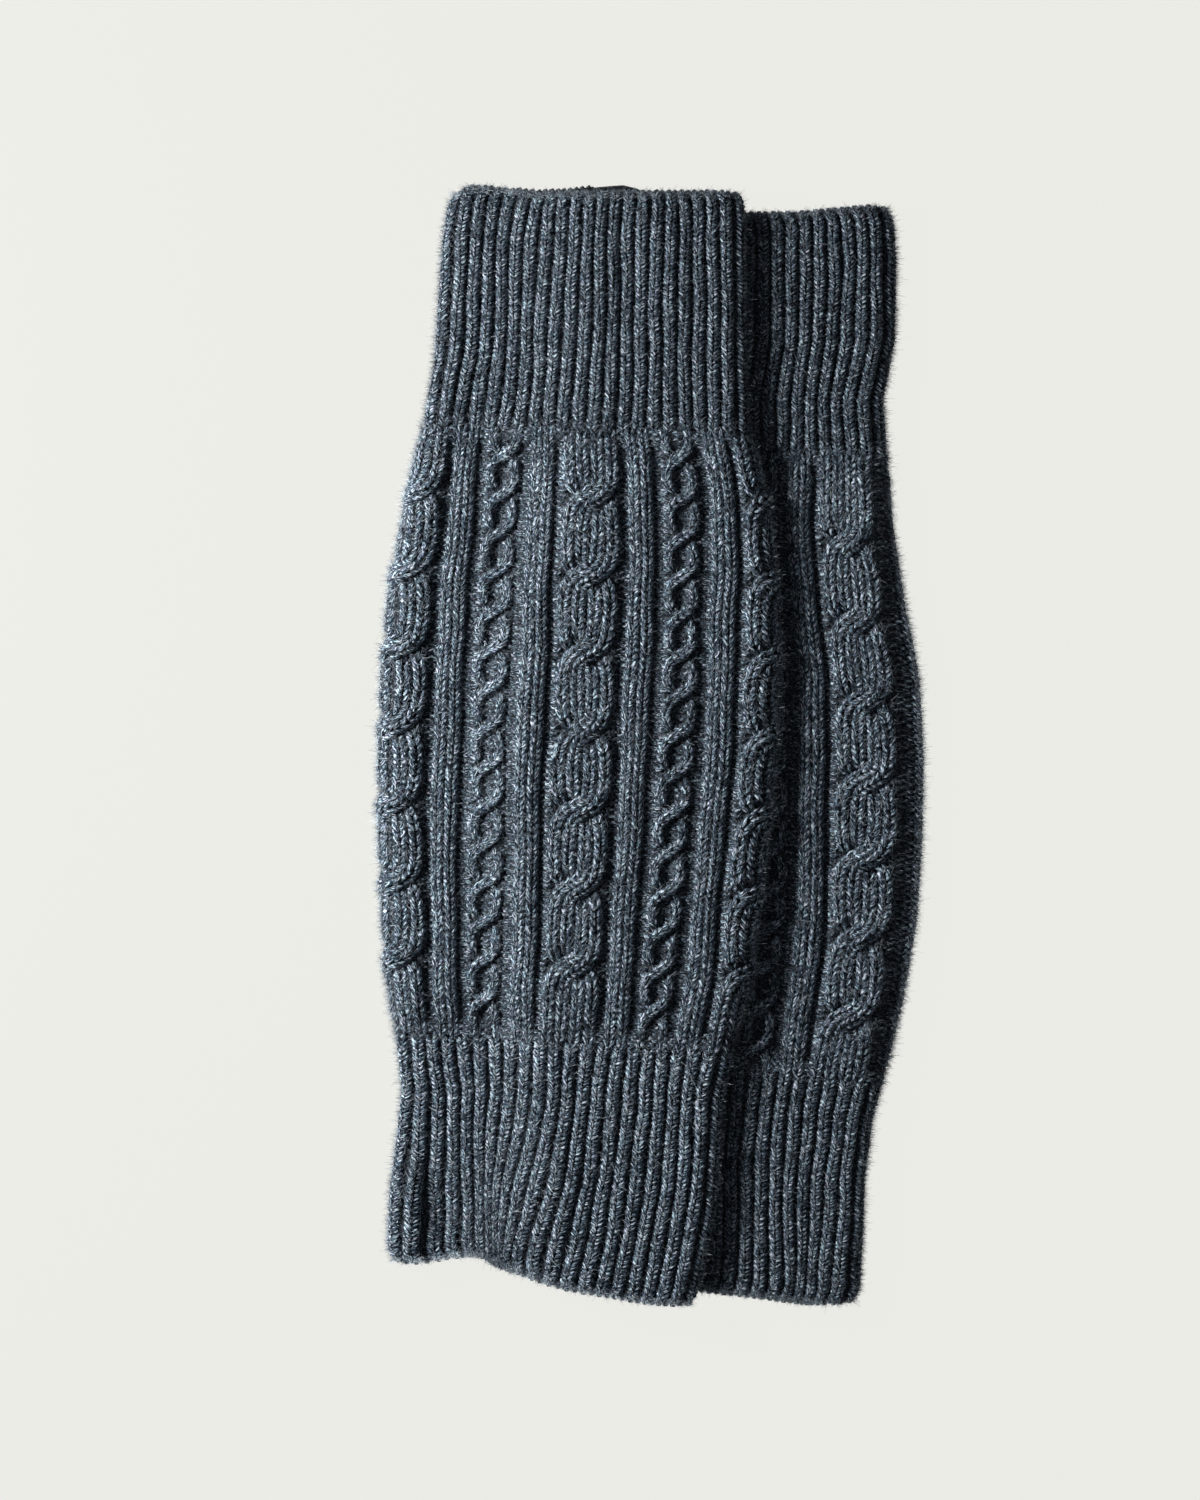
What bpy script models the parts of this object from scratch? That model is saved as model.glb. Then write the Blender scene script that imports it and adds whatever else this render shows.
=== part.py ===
"""A pair of cable-knit leg warmers laid flat, one over the other.

Each leg warmer is an open knitted tube of three pieces: a ribbed upper cuff, a cabled leg and a
ribbed lower cuff. It lies flattened, front layer on back layer, with a rounded fold at each side.
The front leg warmer's left side lies on the surface and the rest of it on the back leg warmer.

Frame: metres, +Z up off the surface, +Y along the legs towards the upper cuffs, +X across. The
origin is under the middle of the pair. A place round a tube is a share of the round, from 0 at the
left fold over the top layer to 0.5 at the right fold and back underneath to 1.
"""

import bmesh
import bpy
import numpy as np

MM = 0.001

# Cloth
WALL = 2.8 * MM
LAYER_GAP = 1.2 * MM
FOLD_PUFF = 0.8 * MM
FOLD_PUFF_REACH = 9 * MM
SEAM_GAP = 0.3 * MM
REST_GAP = 0.3 * MM

# Raised knitting, as heights over the wall
CUFF_RIB_HEIGHT = 1.6 * MM
RIB_COLUMN_HEIGHT = 1.8 * MM
BIG_CABLE_HEIGHT = 3.0 * MM
SMALL_CABLE_HEIGHT = 2.2 * MM
HIDDEN_HEIGHT = 1.2 * MM
OUTLINE_INSET = 1.4 * MM

# Pattern round the tube, in shares of the round
CUFF_RIBS = 44
PATTERN_REPEAT = 0.25
BIG_CABLE_HALF = 0.036
RIB_COLUMN_AT = 0.066
RIB_COLUMN_HALF = 0.0185
SMALL_CABLE_AT = 0.125
SMALL_CABLE_HALF = 0.021
PATTERN_EASE = 0.010

# Cables along the leg, and the shape of one crossing in shares of its pitch and half width.
# A band's lean is partly straight across, and the rest of it bends towards its two ends.
CROSSING_PITCH = 29.6 * MM
CROSSINGS = 7
BIG_CABLE_LEAN = 0.24
SMALL_CABLE_LEAN = 0.26
STRAIGHT_LEAN = 0.55
BAND_HALF = 0.27
STRAND_LEVEL = 0.85
STRAND_BLEND = 0.8
TUCK_START = 0.5
TUCK_LENGTH = 0.3
TUCK_DEPTH = 0.6
HOLE_HALF = 0.45
HOLE_DEPTH = 0.75
CABLE_FOOT = 1.12

# The front leg warmer's climb onto the back one
CLIMB = 25 * MM
EDGE_FADE = 2.4 * MM

# Where each leg warmer's pattern sits: the middle of the big cable on top, and the first crossing
FRONT_PATTERN_AT = 0.256
FRONT_FIRST_CROSSING = 24.7 * MM
BACK_PATTERN_AT = 0.4165
BACK_FIRST_CROSSING = 33.4 * MM

# Fineness of the solids: rows along, then shares of the round where columns and heights change
ROWS_PER_CROSSING = 8
CUFF_ROWS = 7
CABLE_LEG_ROWS = 11
SEAM_ROW_MARGIN = 0.4
DIRECTION_STEP = 1e-4
TURN = 0.018
FOLD_FADE = 0.010
VISIBLE_FROM = 0.235
CLIMB_FROM = 0.74
CLIMB_TO = 0.92
CLIMB_COLUMNS = 9
INNER_TURN = 1.4 * TURN
UNDER_COLUMNS = (0.6, 0.7, 0.95)
COVERED_COLUMNS = (0.07, 0.13, 0.19)
INNER_COLUMNS = (0.36, 0.43)

# Columns of one big cable, rib column, small cable and cuff rib, in shares of its half width or pitch
BIG_CABLE_COLUMNS = (0.0, 0.4, 0.8)
RIB_COLUMN_COLUMNS = (-0.75, 0.75, 1.05)
SMALL_CABLE_COLUMNS = (CABLE_FOOT, 0.7, 0.0)
CUFF_RIB_COLUMNS = (0.0, 0.28, 0.72)

SHARP_ANGLE = np.radians(20.0)
CLOTH_COLOUR = (0.075, 0.095, 0.118, 1.0)
CLOTH_ROUGHNESS = 0.95

# Outlines seen from above, in millimetres: along, left edge, right edge
FRONT_OUTLINE = (
    (209.5, -76.0, 36.0),
    (192.5, -78.5, 36.5),
    (169.5, -80.0, 37.0),
    (147.0, -81.5, 37.0),
    (120.5, -87.0, 38.5),
    (93.5, -92.5, 44.5),
    (63.5, -98.5, 48.0),
    (33.0, -101.5, 49.0),
    (2.5, -103.0, 48.0),
    (-28.0, -103.0, 45.5),
    (-58.5, -102.0, 42.0),
    (-88.5, -100.0, 38.0),
    (-111.5, -96.0, 32.5),
    (-130.5, -94.0, 28.5),
    (-149.5, -96.0, 27.0),
    (-168.5, -98.5, 26.0),
    (-187.5, -98.0, 23.0),
    (-210.5, -95.5, 18.0),
)
BACK_OUTLINE = (
    (202.5, -23.0, 92.5),
    (185.0, -24.0, 94.0),
    (154.5, -24.5, 93.5),
    (131.5, -25.5, 89.0),
    (111.0, -28.0, 90.5),
    (86.0, -34.0, 92.5),
    (55.5, -41.0, 97.5),
    (25.5, -46.5, 102.0),
    (-5.0, -49.0, 103.5),
    (-35.5, -49.0, 103.0),
    (-66.0, -46.5, 101.0),
    (-96.5, -42.0, 96.0),
    (-125.0, -37.0, 89.5),
    (-142.0, -35.5, 85.0),
    (-164.5, -35.5, 82.0),
    (-187.5, -36.0, 80.0),
    (-210.5, -37.0, 77.0),
)

# Edges and seams across each leg warmer, in millimetres:
# share across, upper edge, upper seam, lower seam, lower edge
FRONT_EDGES = (
    (0.00, 209.0, 122.5, -109.0, -193.0),
    (0.04, 211.5, 122.5, -109.0, -196.0),
    (0.12, 213.0, 122.0, -109.5, -196.0),
    (0.24, 210.0, 121.5, -110.5, -194.0),
    (0.36, 210.5, 121.0, -111.5, -199.0),
    (0.50, 211.5, 120.5, -112.0, -203.5),
    (0.62, 212.0, 120.5, -113.0, -207.0),
    (0.76, 210.5, 120.0, -114.5, -210.0),
    (0.96, 210.5, 119.5, -116.0, -212.0),
    (1.00, 208.0, 119.5, -116.0, -210.0),
)
BACK_EDGES = (
    (0.00, 200.5, 111.0, -121.5, -202.0),
    (0.04, 202.5, 111.0, -121.5, -204.0),
    (0.50, 202.5, 111.0, -121.5, -207.5),
    (0.70, 202.5, 111.0, -123.5, -210.0),
    (0.85, 204.0, 111.0, -126.0, -212.5),
    (0.95, 205.5, 111.0, -128.0, -211.5),
    (1.00, 202.5, 111.0, -128.5, -204.5),
)

# Pieces along a leg warmer: name, its upper line and its lower line in the table of edges
PIECES = (
    ("upper_cuff", 1, 2),
    ("cable_leg", 2, 3),
    ("lower_cuff", 3, 4),
)


def smooth(value):
    """An ease from 0 to 1."""
    t = np.clip(value, 0.0, 1.0)
    return t * t * (3.0 - 2.0 * t)


class LegWarmer:
    """The outline, the section and the pattern's place of one leg warmer."""

    def __init__(self, name, outline, edges, pattern_at, first_crossing, left_puff):
        rows = np.array(outline)[::-1] * MM
        self.name = name
        self.along = rows[:, 0]
        self.left_edge = rows[:, 1] + OUTLINE_INSET
        self.right_edge = rows[:, 2] - OUTLINE_INSET
        self.across = np.array(edges)[:, 0]
        self.lines = np.array(edges) * MM
        self.pattern_at = pattern_at
        self.first_crossing = first_crossing
        self.middle = 2.0 * WALL + LAYER_GAP
        self.left_radius = (self.middle + left_puff) / 2.0
        self.right_radius = (self.middle + FOLD_PUFF) / 2.0
        self.underneath = None
        self.on_top = None

    def left(self, y):
        return np.interp(y, self.along, self.left_edge)

    def right(self, y):
        return np.interp(y, self.along, self.right_edge)

    def line(self, upper, lower, down, share):
        """The place along the leg of a point some way down from one line to another."""
        start = np.interp(share, self.across, self.lines[:, upper])
        end = np.interp(share, self.across, self.lines[:, lower])
        return start + (end - start) * down

    def ends(self, upper, lower, down):
        """The left and right edges of the row some way down a piece."""
        left = self.left(self.line(upper, lower, down, np.zeros_like(down)))
        right = self.right(self.line(upper, lower, down, np.ones_like(down)))
        return left, right

    def top(self, x, left, right):
        """The height of the flattened top layer, puffed a little next to its folds."""
        from_left = (x - left - self.left_radius) / FOLD_PUFF_REACH
        from_right = (right - self.right_radius - x) / FOLD_PUFF_REACH
        puff = (2.0 * self.left_radius - self.middle) * np.exp(-from_left**2)
        puff += (2.0 * self.right_radius - self.middle) * np.exp(-from_right**2)
        return self.middle + puff

    def section(self, share, left, right):
        """Across and up, of the plain outer surface at a share of the round."""
        a, b = self.left_radius, self.right_radius
        flat = right - left - a - b
        a_arc, b_arc = np.pi / 2 * a, np.pi / 2 * b
        run = np.mod(share, 1.0) * 2.0 * (flat + a_arc + b_arc)
        on_top = left + a + (run - a_arc)
        right_turn = (run - a_arc - flat) / b
        below = right - b - (run - a_arc - flat - 2.0 * b_arc)
        left_turn = (run - a_arc - 2.0 * flat - 2.0 * b_arc) / a
        where = [run < a_arc, right_turn < 0.0, right_turn < np.pi, left_turn < 0.0]
        x_parts = [
            left + a - a * np.cos(run / a),
            on_top,
            right - b + b * np.sin(right_turn),
            below,
        ]
        z_parts = [
            a + a * np.sin(run / a),
            self.top(on_top, left, right),
            b + b * np.cos(right_turn),
            np.zeros_like(run),
        ]
        x = np.select(where, x_parts, left + a - a * np.sin(left_turn))
        z = np.select(where, z_parts, a - a * np.cos(left_turn))
        return x, z

    def surface(self, share, upper, lower, down, lift):
        """Points of a piece at shares of the round and its length, lifted off the plain surface."""
        left, right = self.ends(upper, lower, down)
        x, z = self.section(share, left, right)
        x_next, z_next = self.section(share + DIRECTION_STEP, left, right)
        x_last, z_last = self.section(share - DIRECTION_STEP, left, right)
        run_x, run_z = x_next - x_last, z_next - z_last
        size = np.hypot(run_x, run_z)
        x = x - run_z / size * lift
        z = z + run_x / size * lift
        y = self.line(upper, lower, down, np.clip((x - left) / (right - left), 0.0, 1.0))
        return np.stack([x, y, z + self.climb(x, y)], axis=-1)

    def climb(self, x, y):
        """How far a point is raised by the leg warmer underneath."""
        below = self.underneath
        if below is None:
            return np.zeros_like(x)
        height = below.middle + HIDDEN_HEIGHT + REST_GAP
        return height * smooth((x - below.left(y) + CLIMB) / CLIMB)

    def shown(self, x, y):
        """1 where the top layer shows, 0 where the other leg warmer covers it."""
        above = self.on_top
        if above is None:
            return np.ones_like(x)
        return smooth((x - above.right(y) + EDGE_FADE) / EDGE_FADE)


def cable(across, along, lean, hole, first, last):
    """The height share of a two-strand cable, its strands parted round a hole if hole is above 0.

    across runs from -1 to 1 and along in crossings towards the upper cuff, whole at each crossing.
    A rounded band leans up to the right over each crossing. It runs on down the left strand and up
    the right one, until each tucks under the next band.
    """
    leaned = along - lean * (STRAIGHT_LEAN * across + (1.0 - STRAIGHT_LEAN) * across**3)
    nearest = np.clip(np.round(leaned), first, last)
    phase = leaned - nearest
    band = np.cos(np.pi / 2.0 * np.clip(phase / BAND_HALF, -1.0, 1.0))
    left_run = np.where((phase < 0.0) & (nearest > first), -phase, 0.0)
    left_run = np.where(phase > 0.0, 1.0 - phase, left_run)
    right_run = np.where((phase > 0.0) & (nearest < last), phase, 0.0)
    right_run = np.where(phase < 0.0, 1.0 + phase, right_run)
    run = left_run + (right_run - left_run) * smooth(0.5 + across / STRAND_BLEND)
    strand = STRAND_LEVEL - TUCK_DEPTH * smooth((run - TUCK_START) / TUCK_LENGTH)
    parted = hole * np.exp(-((across / HOLE_HALF) ** 2)) * (1.0 - band)
    rounding = np.sqrt(np.clip(1.0 - (np.abs(across) / CABLE_FOOT) ** 4, 0.0, 1.0))
    return rounding * np.maximum(band, strand - parted)


def pattern_place(leg, share):
    """The place in the pattern, in shares of the round from the middle of the nearest big cable."""
    from_centre = np.mod(share - leg.pattern_at + 0.5, 1.0) - 0.5
    eased = from_centre + PATTERN_EASE * np.sin(2.0 * np.pi * from_centre)
    return eased - PATTERN_REPEAT * np.round(eased / PATTERN_REPEAT)


def leg_height(leg, share, distance):
    """The raised knitting of the cabled leg, by share of the round and distance below its seam."""
    place = pattern_place(leg, share)
    along = (leg.first_crossing - distance) / CROSSING_PITCH
    big = cable(place / BIG_CABLE_HALF, along, BIG_CABLE_LEAN, 0.0, 1 - CROSSINGS, 0)
    twist = (np.abs(place) - SMALL_CABLE_AT) * np.sign(place) / SMALL_CABLE_HALF
    small = cable(twist, 2.0 * along, SMALL_CABLE_LEAN, HOLE_DEPTH, 1 - 2 * CROSSINGS, 1)
    rib = np.sqrt(np.clip(1.0 - (np.abs(np.abs(place) - RIB_COLUMN_AT) / RIB_COLUMN_HALF) ** 3, 0.0, 1.0))
    heights = [BIG_CABLE_HEIGHT * big, SMALL_CABLE_HEIGHT * small, RIB_COLUMN_HEIGHT * rib]
    return np.maximum.reduce(heights)


def cuff_height(share):
    """The raised single ribs of a cuff."""
    groove = 0.5 + 0.5 * np.cos(2.0 * np.pi * CUFF_RIBS * share)
    return CUFF_RIB_HEIGHT * (1.0 - groove**2)


def pattern_columns(leg):
    """Shares of the round that catch the edges and crests of the cabled leg's pattern."""
    places = [share * BIG_CABLE_HALF for share in BIG_CABLE_COLUMNS]
    places.append((CABLE_FOOT * BIG_CABLE_HALF + RIB_COLUMN_AT - RIB_COLUMN_HALF) / 2.0)
    places += [RIB_COLUMN_AT + share * RIB_COLUMN_HALF for share in RIB_COLUMN_COLUMNS]
    places += [SMALL_CABLE_AT - share * SMALL_CABLE_HALF for share in SMALL_CABLE_COLUMNS]
    columns = []
    for repeat in range(-2, 3):
        for place in {-p for p in places} | set(places):
            eased = repeat * PATTERN_REPEAT + place
            share = eased
            for _ in range(6):
                share = eased - PATTERN_EASE * np.sin(2.0 * np.pi * share)
            columns.append(np.mod(share + leg.pattern_at, 1.0))
    return np.unique(np.round(columns, 5))


def rib_columns():
    """Shares of the round at each cuff rib's groove and the edges of its crest."""
    return (np.arange(CUFF_RIBS)[:, None] + np.array(CUFF_RIB_COLUMNS)).ravel() / CUFF_RIBS


class Mesh:
    """Points and triangles of one piece while it is put together."""

    def __init__(self):
        self.points = []
        self.faces = []

    def grid(self, points):
        """Adds a grid of points with its triangles and gives back their numbers."""
        rows, columns = points.shape[:2]
        first = len(self.points)
        self.points.extend(points.reshape(-1, 3).tolist())
        numbers = first + np.arange(rows * columns).reshape(rows, columns)
        for i in range(rows - 1):
            for j in range(columns - 1):
                a, b = numbers[i, j], numbers[i, j + 1]
                c, d = numbers[i + 1, j + 1], numbers[i + 1, j]
                self.faces.append((a, b, c))
                self.faces.append((a, c, d))
        return numbers

    def zip(self, one, one_at, other, other_at):
        """Joins two runs of points with triangles, stepping along whichever lags behind."""
        i = j = 0
        while i < len(one) - 1 or j < len(other) - 1:
            step_one = j == len(other) - 1
            if not step_one and i < len(one) - 1:
                step_one = one_at[i + 1] <= other_at[j + 1]
            if step_one:
                self.faces.append((one[i], one[i + 1], other[j]))
                i += 1
            else:
                self.faces.append((one[i], other[j + 1], other[j]))
                j += 1

    def make(self, name, material):
        """Makes the object, one closed body facing out."""
        mesh = bpy.data.meshes.new(name)
        mesh.from_pydata(self.points, [], [tuple(int(n) for n in face) for face in self.faces])
        work = bmesh.new()
        work.from_mesh(mesh)
        bmesh.ops.recalc_face_normals(work, faces=work.faces)
        if work.calc_volume(signed=True) < 0.0:
            bmesh.ops.reverse_faces(work, faces=work.faces)
        work.to_mesh(mesh)
        work.free()
        mesh.shade_smooth()
        mesh.set_sharp_from_angle(angle=SHARP_ANGLE)
        mesh.materials.append(material)
        return bpy.data.objects.new(name, mesh)


def piece_length(leg, upper, lower):
    """The length of a piece down the middle of its leg warmer."""
    middle = leg.lines[len(leg.lines) // 2]
    return middle[upper] - middle[lower]


def plain_rows(leg, upper, lower):
    """Shares of a piece's length for its plain rows, clear of the seams."""
    half_gap = SEAM_GAP / 2.0 / piece_length(leg, upper, lower)
    start = half_gap if upper > 1 else 0.0
    end = 1.0 - half_gap if lower < 4 else 1.0
    return np.linspace(start, end, CABLE_LEG_ROWS if upper == 2 else CUFF_ROWS)


def cable_rows(leg, upper, lower):
    """Shares of the cabled leg's length, the same number to each crossing."""
    length = piece_length(leg, upper, lower)
    start, end = plain_rows(leg, upper, lower)[[0, -1]]
    spacing = CROSSING_PITCH / ROWS_PER_CROSSING
    steps = np.arange(-int(leg.first_crossing / spacing), int(length / spacing))
    rows = (leg.first_crossing + steps * spacing) / length
    margin = SEAM_ROW_MARGIN * spacing / length
    rows = rows[(rows > start + margin) & (rows < end - margin)]
    return np.concatenate([[start], rows, [end]])


def outer_patches(leg, columns, raised_rows, rows):
    """Grids that go once round the outside: their shares of the round and of the length."""
    raised_from = VISIBLE_FROM if leg.on_top else -TURN / 2.0
    columns = columns[(columns > max(raised_from, 0.0) + TURN / 8.0) & (columns < 0.5 - TURN / 8.0)]
    fold = [] if leg.on_top else [0.0]
    raised = np.concatenate([[raised_from], fold, columns, [0.5, 0.5 + TURN / 2.0]])
    climbing = np.linspace(CLIMB_FROM, CLIMB_TO, CLIMB_COLUMNS)
    under = [0.5 + TURN, *UNDER_COLUMNS, *climbing, 1.0 - TURN]
    patches = [(raised, raised_rows), (np.sort(under), rows)]
    if leg.on_top:
        covered = [-TURN / 2.0, 0.0, TURN / 2.0, TURN, *COVERED_COLUMNS]
        patches.append((1.0 + np.array(covered), rows))
    return patches


def inner_columns():
    """Shares of the round inside, closer at the folds and where the cloth climbs."""
    climbing = 1.0 - np.linspace(CLIMB_TO, CLIMB_FROM, CLIMB_COLUMNS)
    half = [TURN / 2.0, INNER_TURN, *climbing, *INNER_COLUMNS, 0.5 - INNER_TURN, 0.5 - TURN / 2.0]
    return np.concatenate([[0.0], half, [0.5], 1.0 - np.array(half)[::-1]])


def fold_fade(share):
    """1 over the top layer and its folds, fading to 0 round the lower half of each fold."""
    past = np.abs(np.mod(share + 0.25, 1.0) - 0.5) - 0.25
    return 1.0 - smooth(past / FOLD_FADE)


def raised_height(leg, upper, share, distance, points):
    """The raised height at each point, even where the other leg warmer covers it."""
    height = leg_height(leg, share, distance) if upper == 2 else cuff_height(share)
    if leg.on_top:
        height = HIDDEN_HEIGHT + (height - HIDDEN_HEIGHT) * leg.shown(points[..., 0], points[..., 1])
    return height * fold_fade(share)


def make_piece(leg, piece, upper, lower, material):
    """One piece: raised top, plain underside, plain inside and two open rims."""
    mesh = Mesh()
    length = piece_length(leg, upper, lower)
    rows = plain_rows(leg, upper, lower)
    columns = pattern_columns(leg) if upper == 2 else rib_columns()
    raised_rows = cable_rows(leg, upper, lower) if upper == 2 else rows
    patches = outer_patches(leg, columns, raised_rows, rows)

    outside = []
    for shares, downs in patches:
        share, down = np.meshgrid(shares, downs)
        plain = leg.surface(share, upper, lower, down, 0.0)
        lift = raised_height(leg, upper, share, down * length, plain)
        outside.append(mesh.grid(leg.surface(share, upper, lower, down, lift)))
    for k, numbers in enumerate(outside):
        following = (k + 1) % len(outside)
        mesh.zip(numbers[:, -1], patches[k][1], outside[following][:, 0], patches[following][1])

    inner = inner_columns()
    share, down = np.meshgrid(inner, rows)
    inside = mesh.grid(leg.surface(share, upper, lower, down, -WALL))
    mesh.zip(inside[:, -1], rows, inside[:, 0], rows)

    start = patches[0][0][0]
    outer_at = start + np.mod(np.concatenate([shares for shares, _ in patches]) - start, 1.0)
    inner_at = start + np.mod(inner - start, 1.0)
    order = np.argsort(inner_at)
    outer_at = np.append(outer_at, start + 1.0)
    inner_at = np.append(inner_at[order], inner_at[order[0]] + 1.0)
    for end in (0, -1):
        outer_rim = np.concatenate([numbers[end] for numbers in outside])
        outer_rim = np.append(outer_rim, outer_rim[0])
        inner_rim = np.append(inside[end][order], inside[end][order[0]])
        mesh.zip(outer_rim, outer_at, inner_rim, inner_at)
    return mesh.make(f"{leg.name}_{piece}", material)


def make_material():
    """Dark blue-grey marled wool."""
    material = bpy.data.materials.new("wool_knit")
    material.use_nodes = True
    shader = material.node_tree.nodes["Principled BSDF"]
    shader.inputs["Base Color"].default_value = CLOTH_COLOUR
    shader.inputs["Roughness"].default_value = CLOTH_ROUGHNESS
    shader.inputs["Metallic"].default_value = 0.0
    return material


def main():
    for old in list(bpy.data.objects):
        bpy.data.objects.remove(old, do_unlink=True)
    collection = bpy.data.collections.new("leg_warmers")
    bpy.context.scene.collection.children.link(collection)
    back = LegWarmer("back", BACK_OUTLINE, BACK_EDGES, BACK_PATTERN_AT, BACK_FIRST_CROSSING, 0.0)
    front = LegWarmer(
        "front", FRONT_OUTLINE, FRONT_EDGES, FRONT_PATTERN_AT, FRONT_FIRST_CROSSING, FOLD_PUFF
    )
    front.underneath = back
    back.on_top = front
    for leg in (front, back):
        for piece, upper, lower in PIECES:
            collection.objects.link(make_piece(leg, piece, upper, lower, make_material()))


main()
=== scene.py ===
"""The looks of a pair of cable-knit wool leg warmers laid flat, one over the other.

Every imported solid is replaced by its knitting: a thin wall that carries the ribs and cables, the
stitches on it, and its loose fibres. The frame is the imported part's: metres, +Z up off the floor, +Y
along the legs towards the upper cuffs, +X across. A place round a tube is a share of the round, from
0 at the left fold over the top layer to 0.5 at the right fold and back underneath to 1.
"""

import bpy
import numpy as np
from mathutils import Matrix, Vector


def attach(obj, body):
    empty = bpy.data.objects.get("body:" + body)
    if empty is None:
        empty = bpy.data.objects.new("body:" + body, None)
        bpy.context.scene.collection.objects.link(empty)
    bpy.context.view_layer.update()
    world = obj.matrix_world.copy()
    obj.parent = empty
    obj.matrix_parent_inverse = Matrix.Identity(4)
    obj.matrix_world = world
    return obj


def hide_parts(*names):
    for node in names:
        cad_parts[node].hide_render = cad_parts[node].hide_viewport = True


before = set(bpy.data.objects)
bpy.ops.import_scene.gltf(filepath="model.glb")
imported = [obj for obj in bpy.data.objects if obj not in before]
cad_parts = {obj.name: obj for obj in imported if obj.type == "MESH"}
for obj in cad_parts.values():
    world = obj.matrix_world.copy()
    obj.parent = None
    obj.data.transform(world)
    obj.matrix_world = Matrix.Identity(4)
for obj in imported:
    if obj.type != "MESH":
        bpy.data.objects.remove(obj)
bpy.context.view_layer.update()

MM = 0.001

# Cloth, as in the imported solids
WALL = 2.8 * MM
LAYER_GAP = 1.2 * MM
FOLD_PUFF = 0.8 * MM
FOLD_PUFF_REACH = 9 * MM
REST_GAP = 0.3 * MM
CUFF_RIB_HEIGHT = 1.8 * MM
RIB_COLUMN_HEIGHT = 2.1 * MM
BIG_CABLE_HEIGHT = 3.6 * MM
SMALL_CABLE_HEIGHT = 2.8 * MM
HIDDEN_HEIGHT = 1.2 * MM
OUTLINE_INSET = 1.4 * MM
CUFF_RIBS = 44
PATTERN_REPEAT = 0.25
BIG_CABLE_HALF = 0.0385
RIB_COLUMN_AT = 0.0695
RIB_COLUMN_HALF = 0.0178
SMALL_CABLE_AT = 0.125
SMALL_CABLE_HALF = 0.021
PATTERN_EASE = 0.010
TOP_SPREAD = 0.0127
TOP_SPREAD_REACH = 90 * MM
LOW_SPREAD = 0.005
LOW_SPREAD_FROM = 175 * MM
LOW_SPREAD_REACH = 60 * MM
CROSSING_PITCH = 29.6 * MM
CROSSINGS = 7
BIG_CABLE_LEAN = 0.30
SMALL_CABLE_LEAN = 0.28
STRAIGHT_LEAN = 0.75
BAND_HALF = 0.21
BAND_ROUNDING = 0.7
STRAND_LEVEL = 0.66
STRAND_BULGE = 0.22
STRAND_BLEND = 0.8
TUCK_START = 0.64
TUCK_LENGTH = 0.20
TUCK_DEPTH = 0.72
HOLE_HALF = 0.50
HOLE_DEPTH = 0.95
BIG_HOLE_DEPTH = 0.16
CABLE_FOOT = 1.12
CLIMB = 25 * MM
EDGE_FADE = 2.4 * MM
FRONT_PATTERN_AT = 0.256
FRONT_FIRST_CROSSING = 25.9 * MM
BACK_PATTERN_AT = 0.4290
BACK_FIRST_CROSSING = 33.4 * MM
FOLD_FADE = 0.010
DIRECTION_STEP = 1e-4

# Where the ground of the back leg warmer is stretched, counted from the big cable on top
BACK_FOLD_STRETCH = 0.012
STRETCH_FROM = 0.030
STRETCH_REACH = 0.035
STRETCH_BACK_FROM = 0.12
STRETCH_BACK_REACH = 0.08
PLACE_ROUNDS = 14

# How the top layer falls towards its folds, and how its wales wander: size, then the lengths across
# and along and the start of two waves
FOLD_FALL = 1.2 * MM
FOLD_FALL_REACH = 9 * MM
WANDER_FADE = 12 * MM
WANDER = (
    (0.55, (11.0, 37.0, 0.0), (29.0, 23.0, 0.0)),
    (0.35, (6.1, -14.0, 1.3), (np.inf, 9.5, 0.4)),
)
GATHER_FLATTEN = 0.9

# How gently the top layer of the upper cuff rises over the leg warmer underneath
BRIDGE_FROM = 48 * MM
BRIDGE_LENGTH = 56 * MM
BRIDGE_AT = 70 * MM
BRIDGE_EASE = 50 * MM

# How full the seams are, and how far from them the raised knitting has its whole height
LEG_SEAM_FULLNESS = 1.5 * MM
CUFF_SEAM_FULLNESS = 1.2 * MM
LEG_SEAM_RELIEF = 0.35
CUFF_SEAM_EASE = 5 * MM
LEG_SEAM_EASE = 9 * MM

# Nothing is lower over the floor than this
LOWEST = 0.05 * MM

# Knitting: stitch rows, rounds, and the widths of a cuff's wale and of a purl stitch
LEG_ROW = 2.43 * MM
CUFF_ROW = 1.69 * MM
LEG_ROUND = 300 * MM
CUFF_ROUND = 232 * MM
CUFF_WALE = 4.4 * MM
PURL_WIDTH = 3.3 * MM
CABLE_ROW_STRETCH = 1.10

# The wall under the stitches
BASE_SINK = 0.9 * MM
BASE_STEP = 1.3 * MM
BASE_STEP_ALONG = 1.8 * MM
COVERED_STEP = 5.0 * MM
STEPS_PER_RIB = 6.0
NEAR_FOLD = 0.03
CUFF_STEPS = 24
INNER_ROWS = 9

# One half of a knit stitch, by stations from its foot to its head: share of its length, reach from
# the middle to the outside of the wale, half width, height and lift
KNIT_HALF = (
    (0.00, 0.00, 0.55, 0.70, 0.12),
    (0.33, 0.42, 1.00, 1.00, 0.24),
    (0.67, 0.85, 0.95, 0.90, 0.08),
    (1.00, 1.00, 0.50, 0.45, -0.35),
)
KNIT_HALF_UNDER = (
    (0.00, 0.00, 0.60, 0.70, 0.12),
    (0.50, 0.60, 1.00, 1.00, 0.20),
    (1.00, 1.00, 0.60, 0.55, -0.30),
)
KNIT_SINK = 0.55
UNDER_HEIGHT = 0.75

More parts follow.
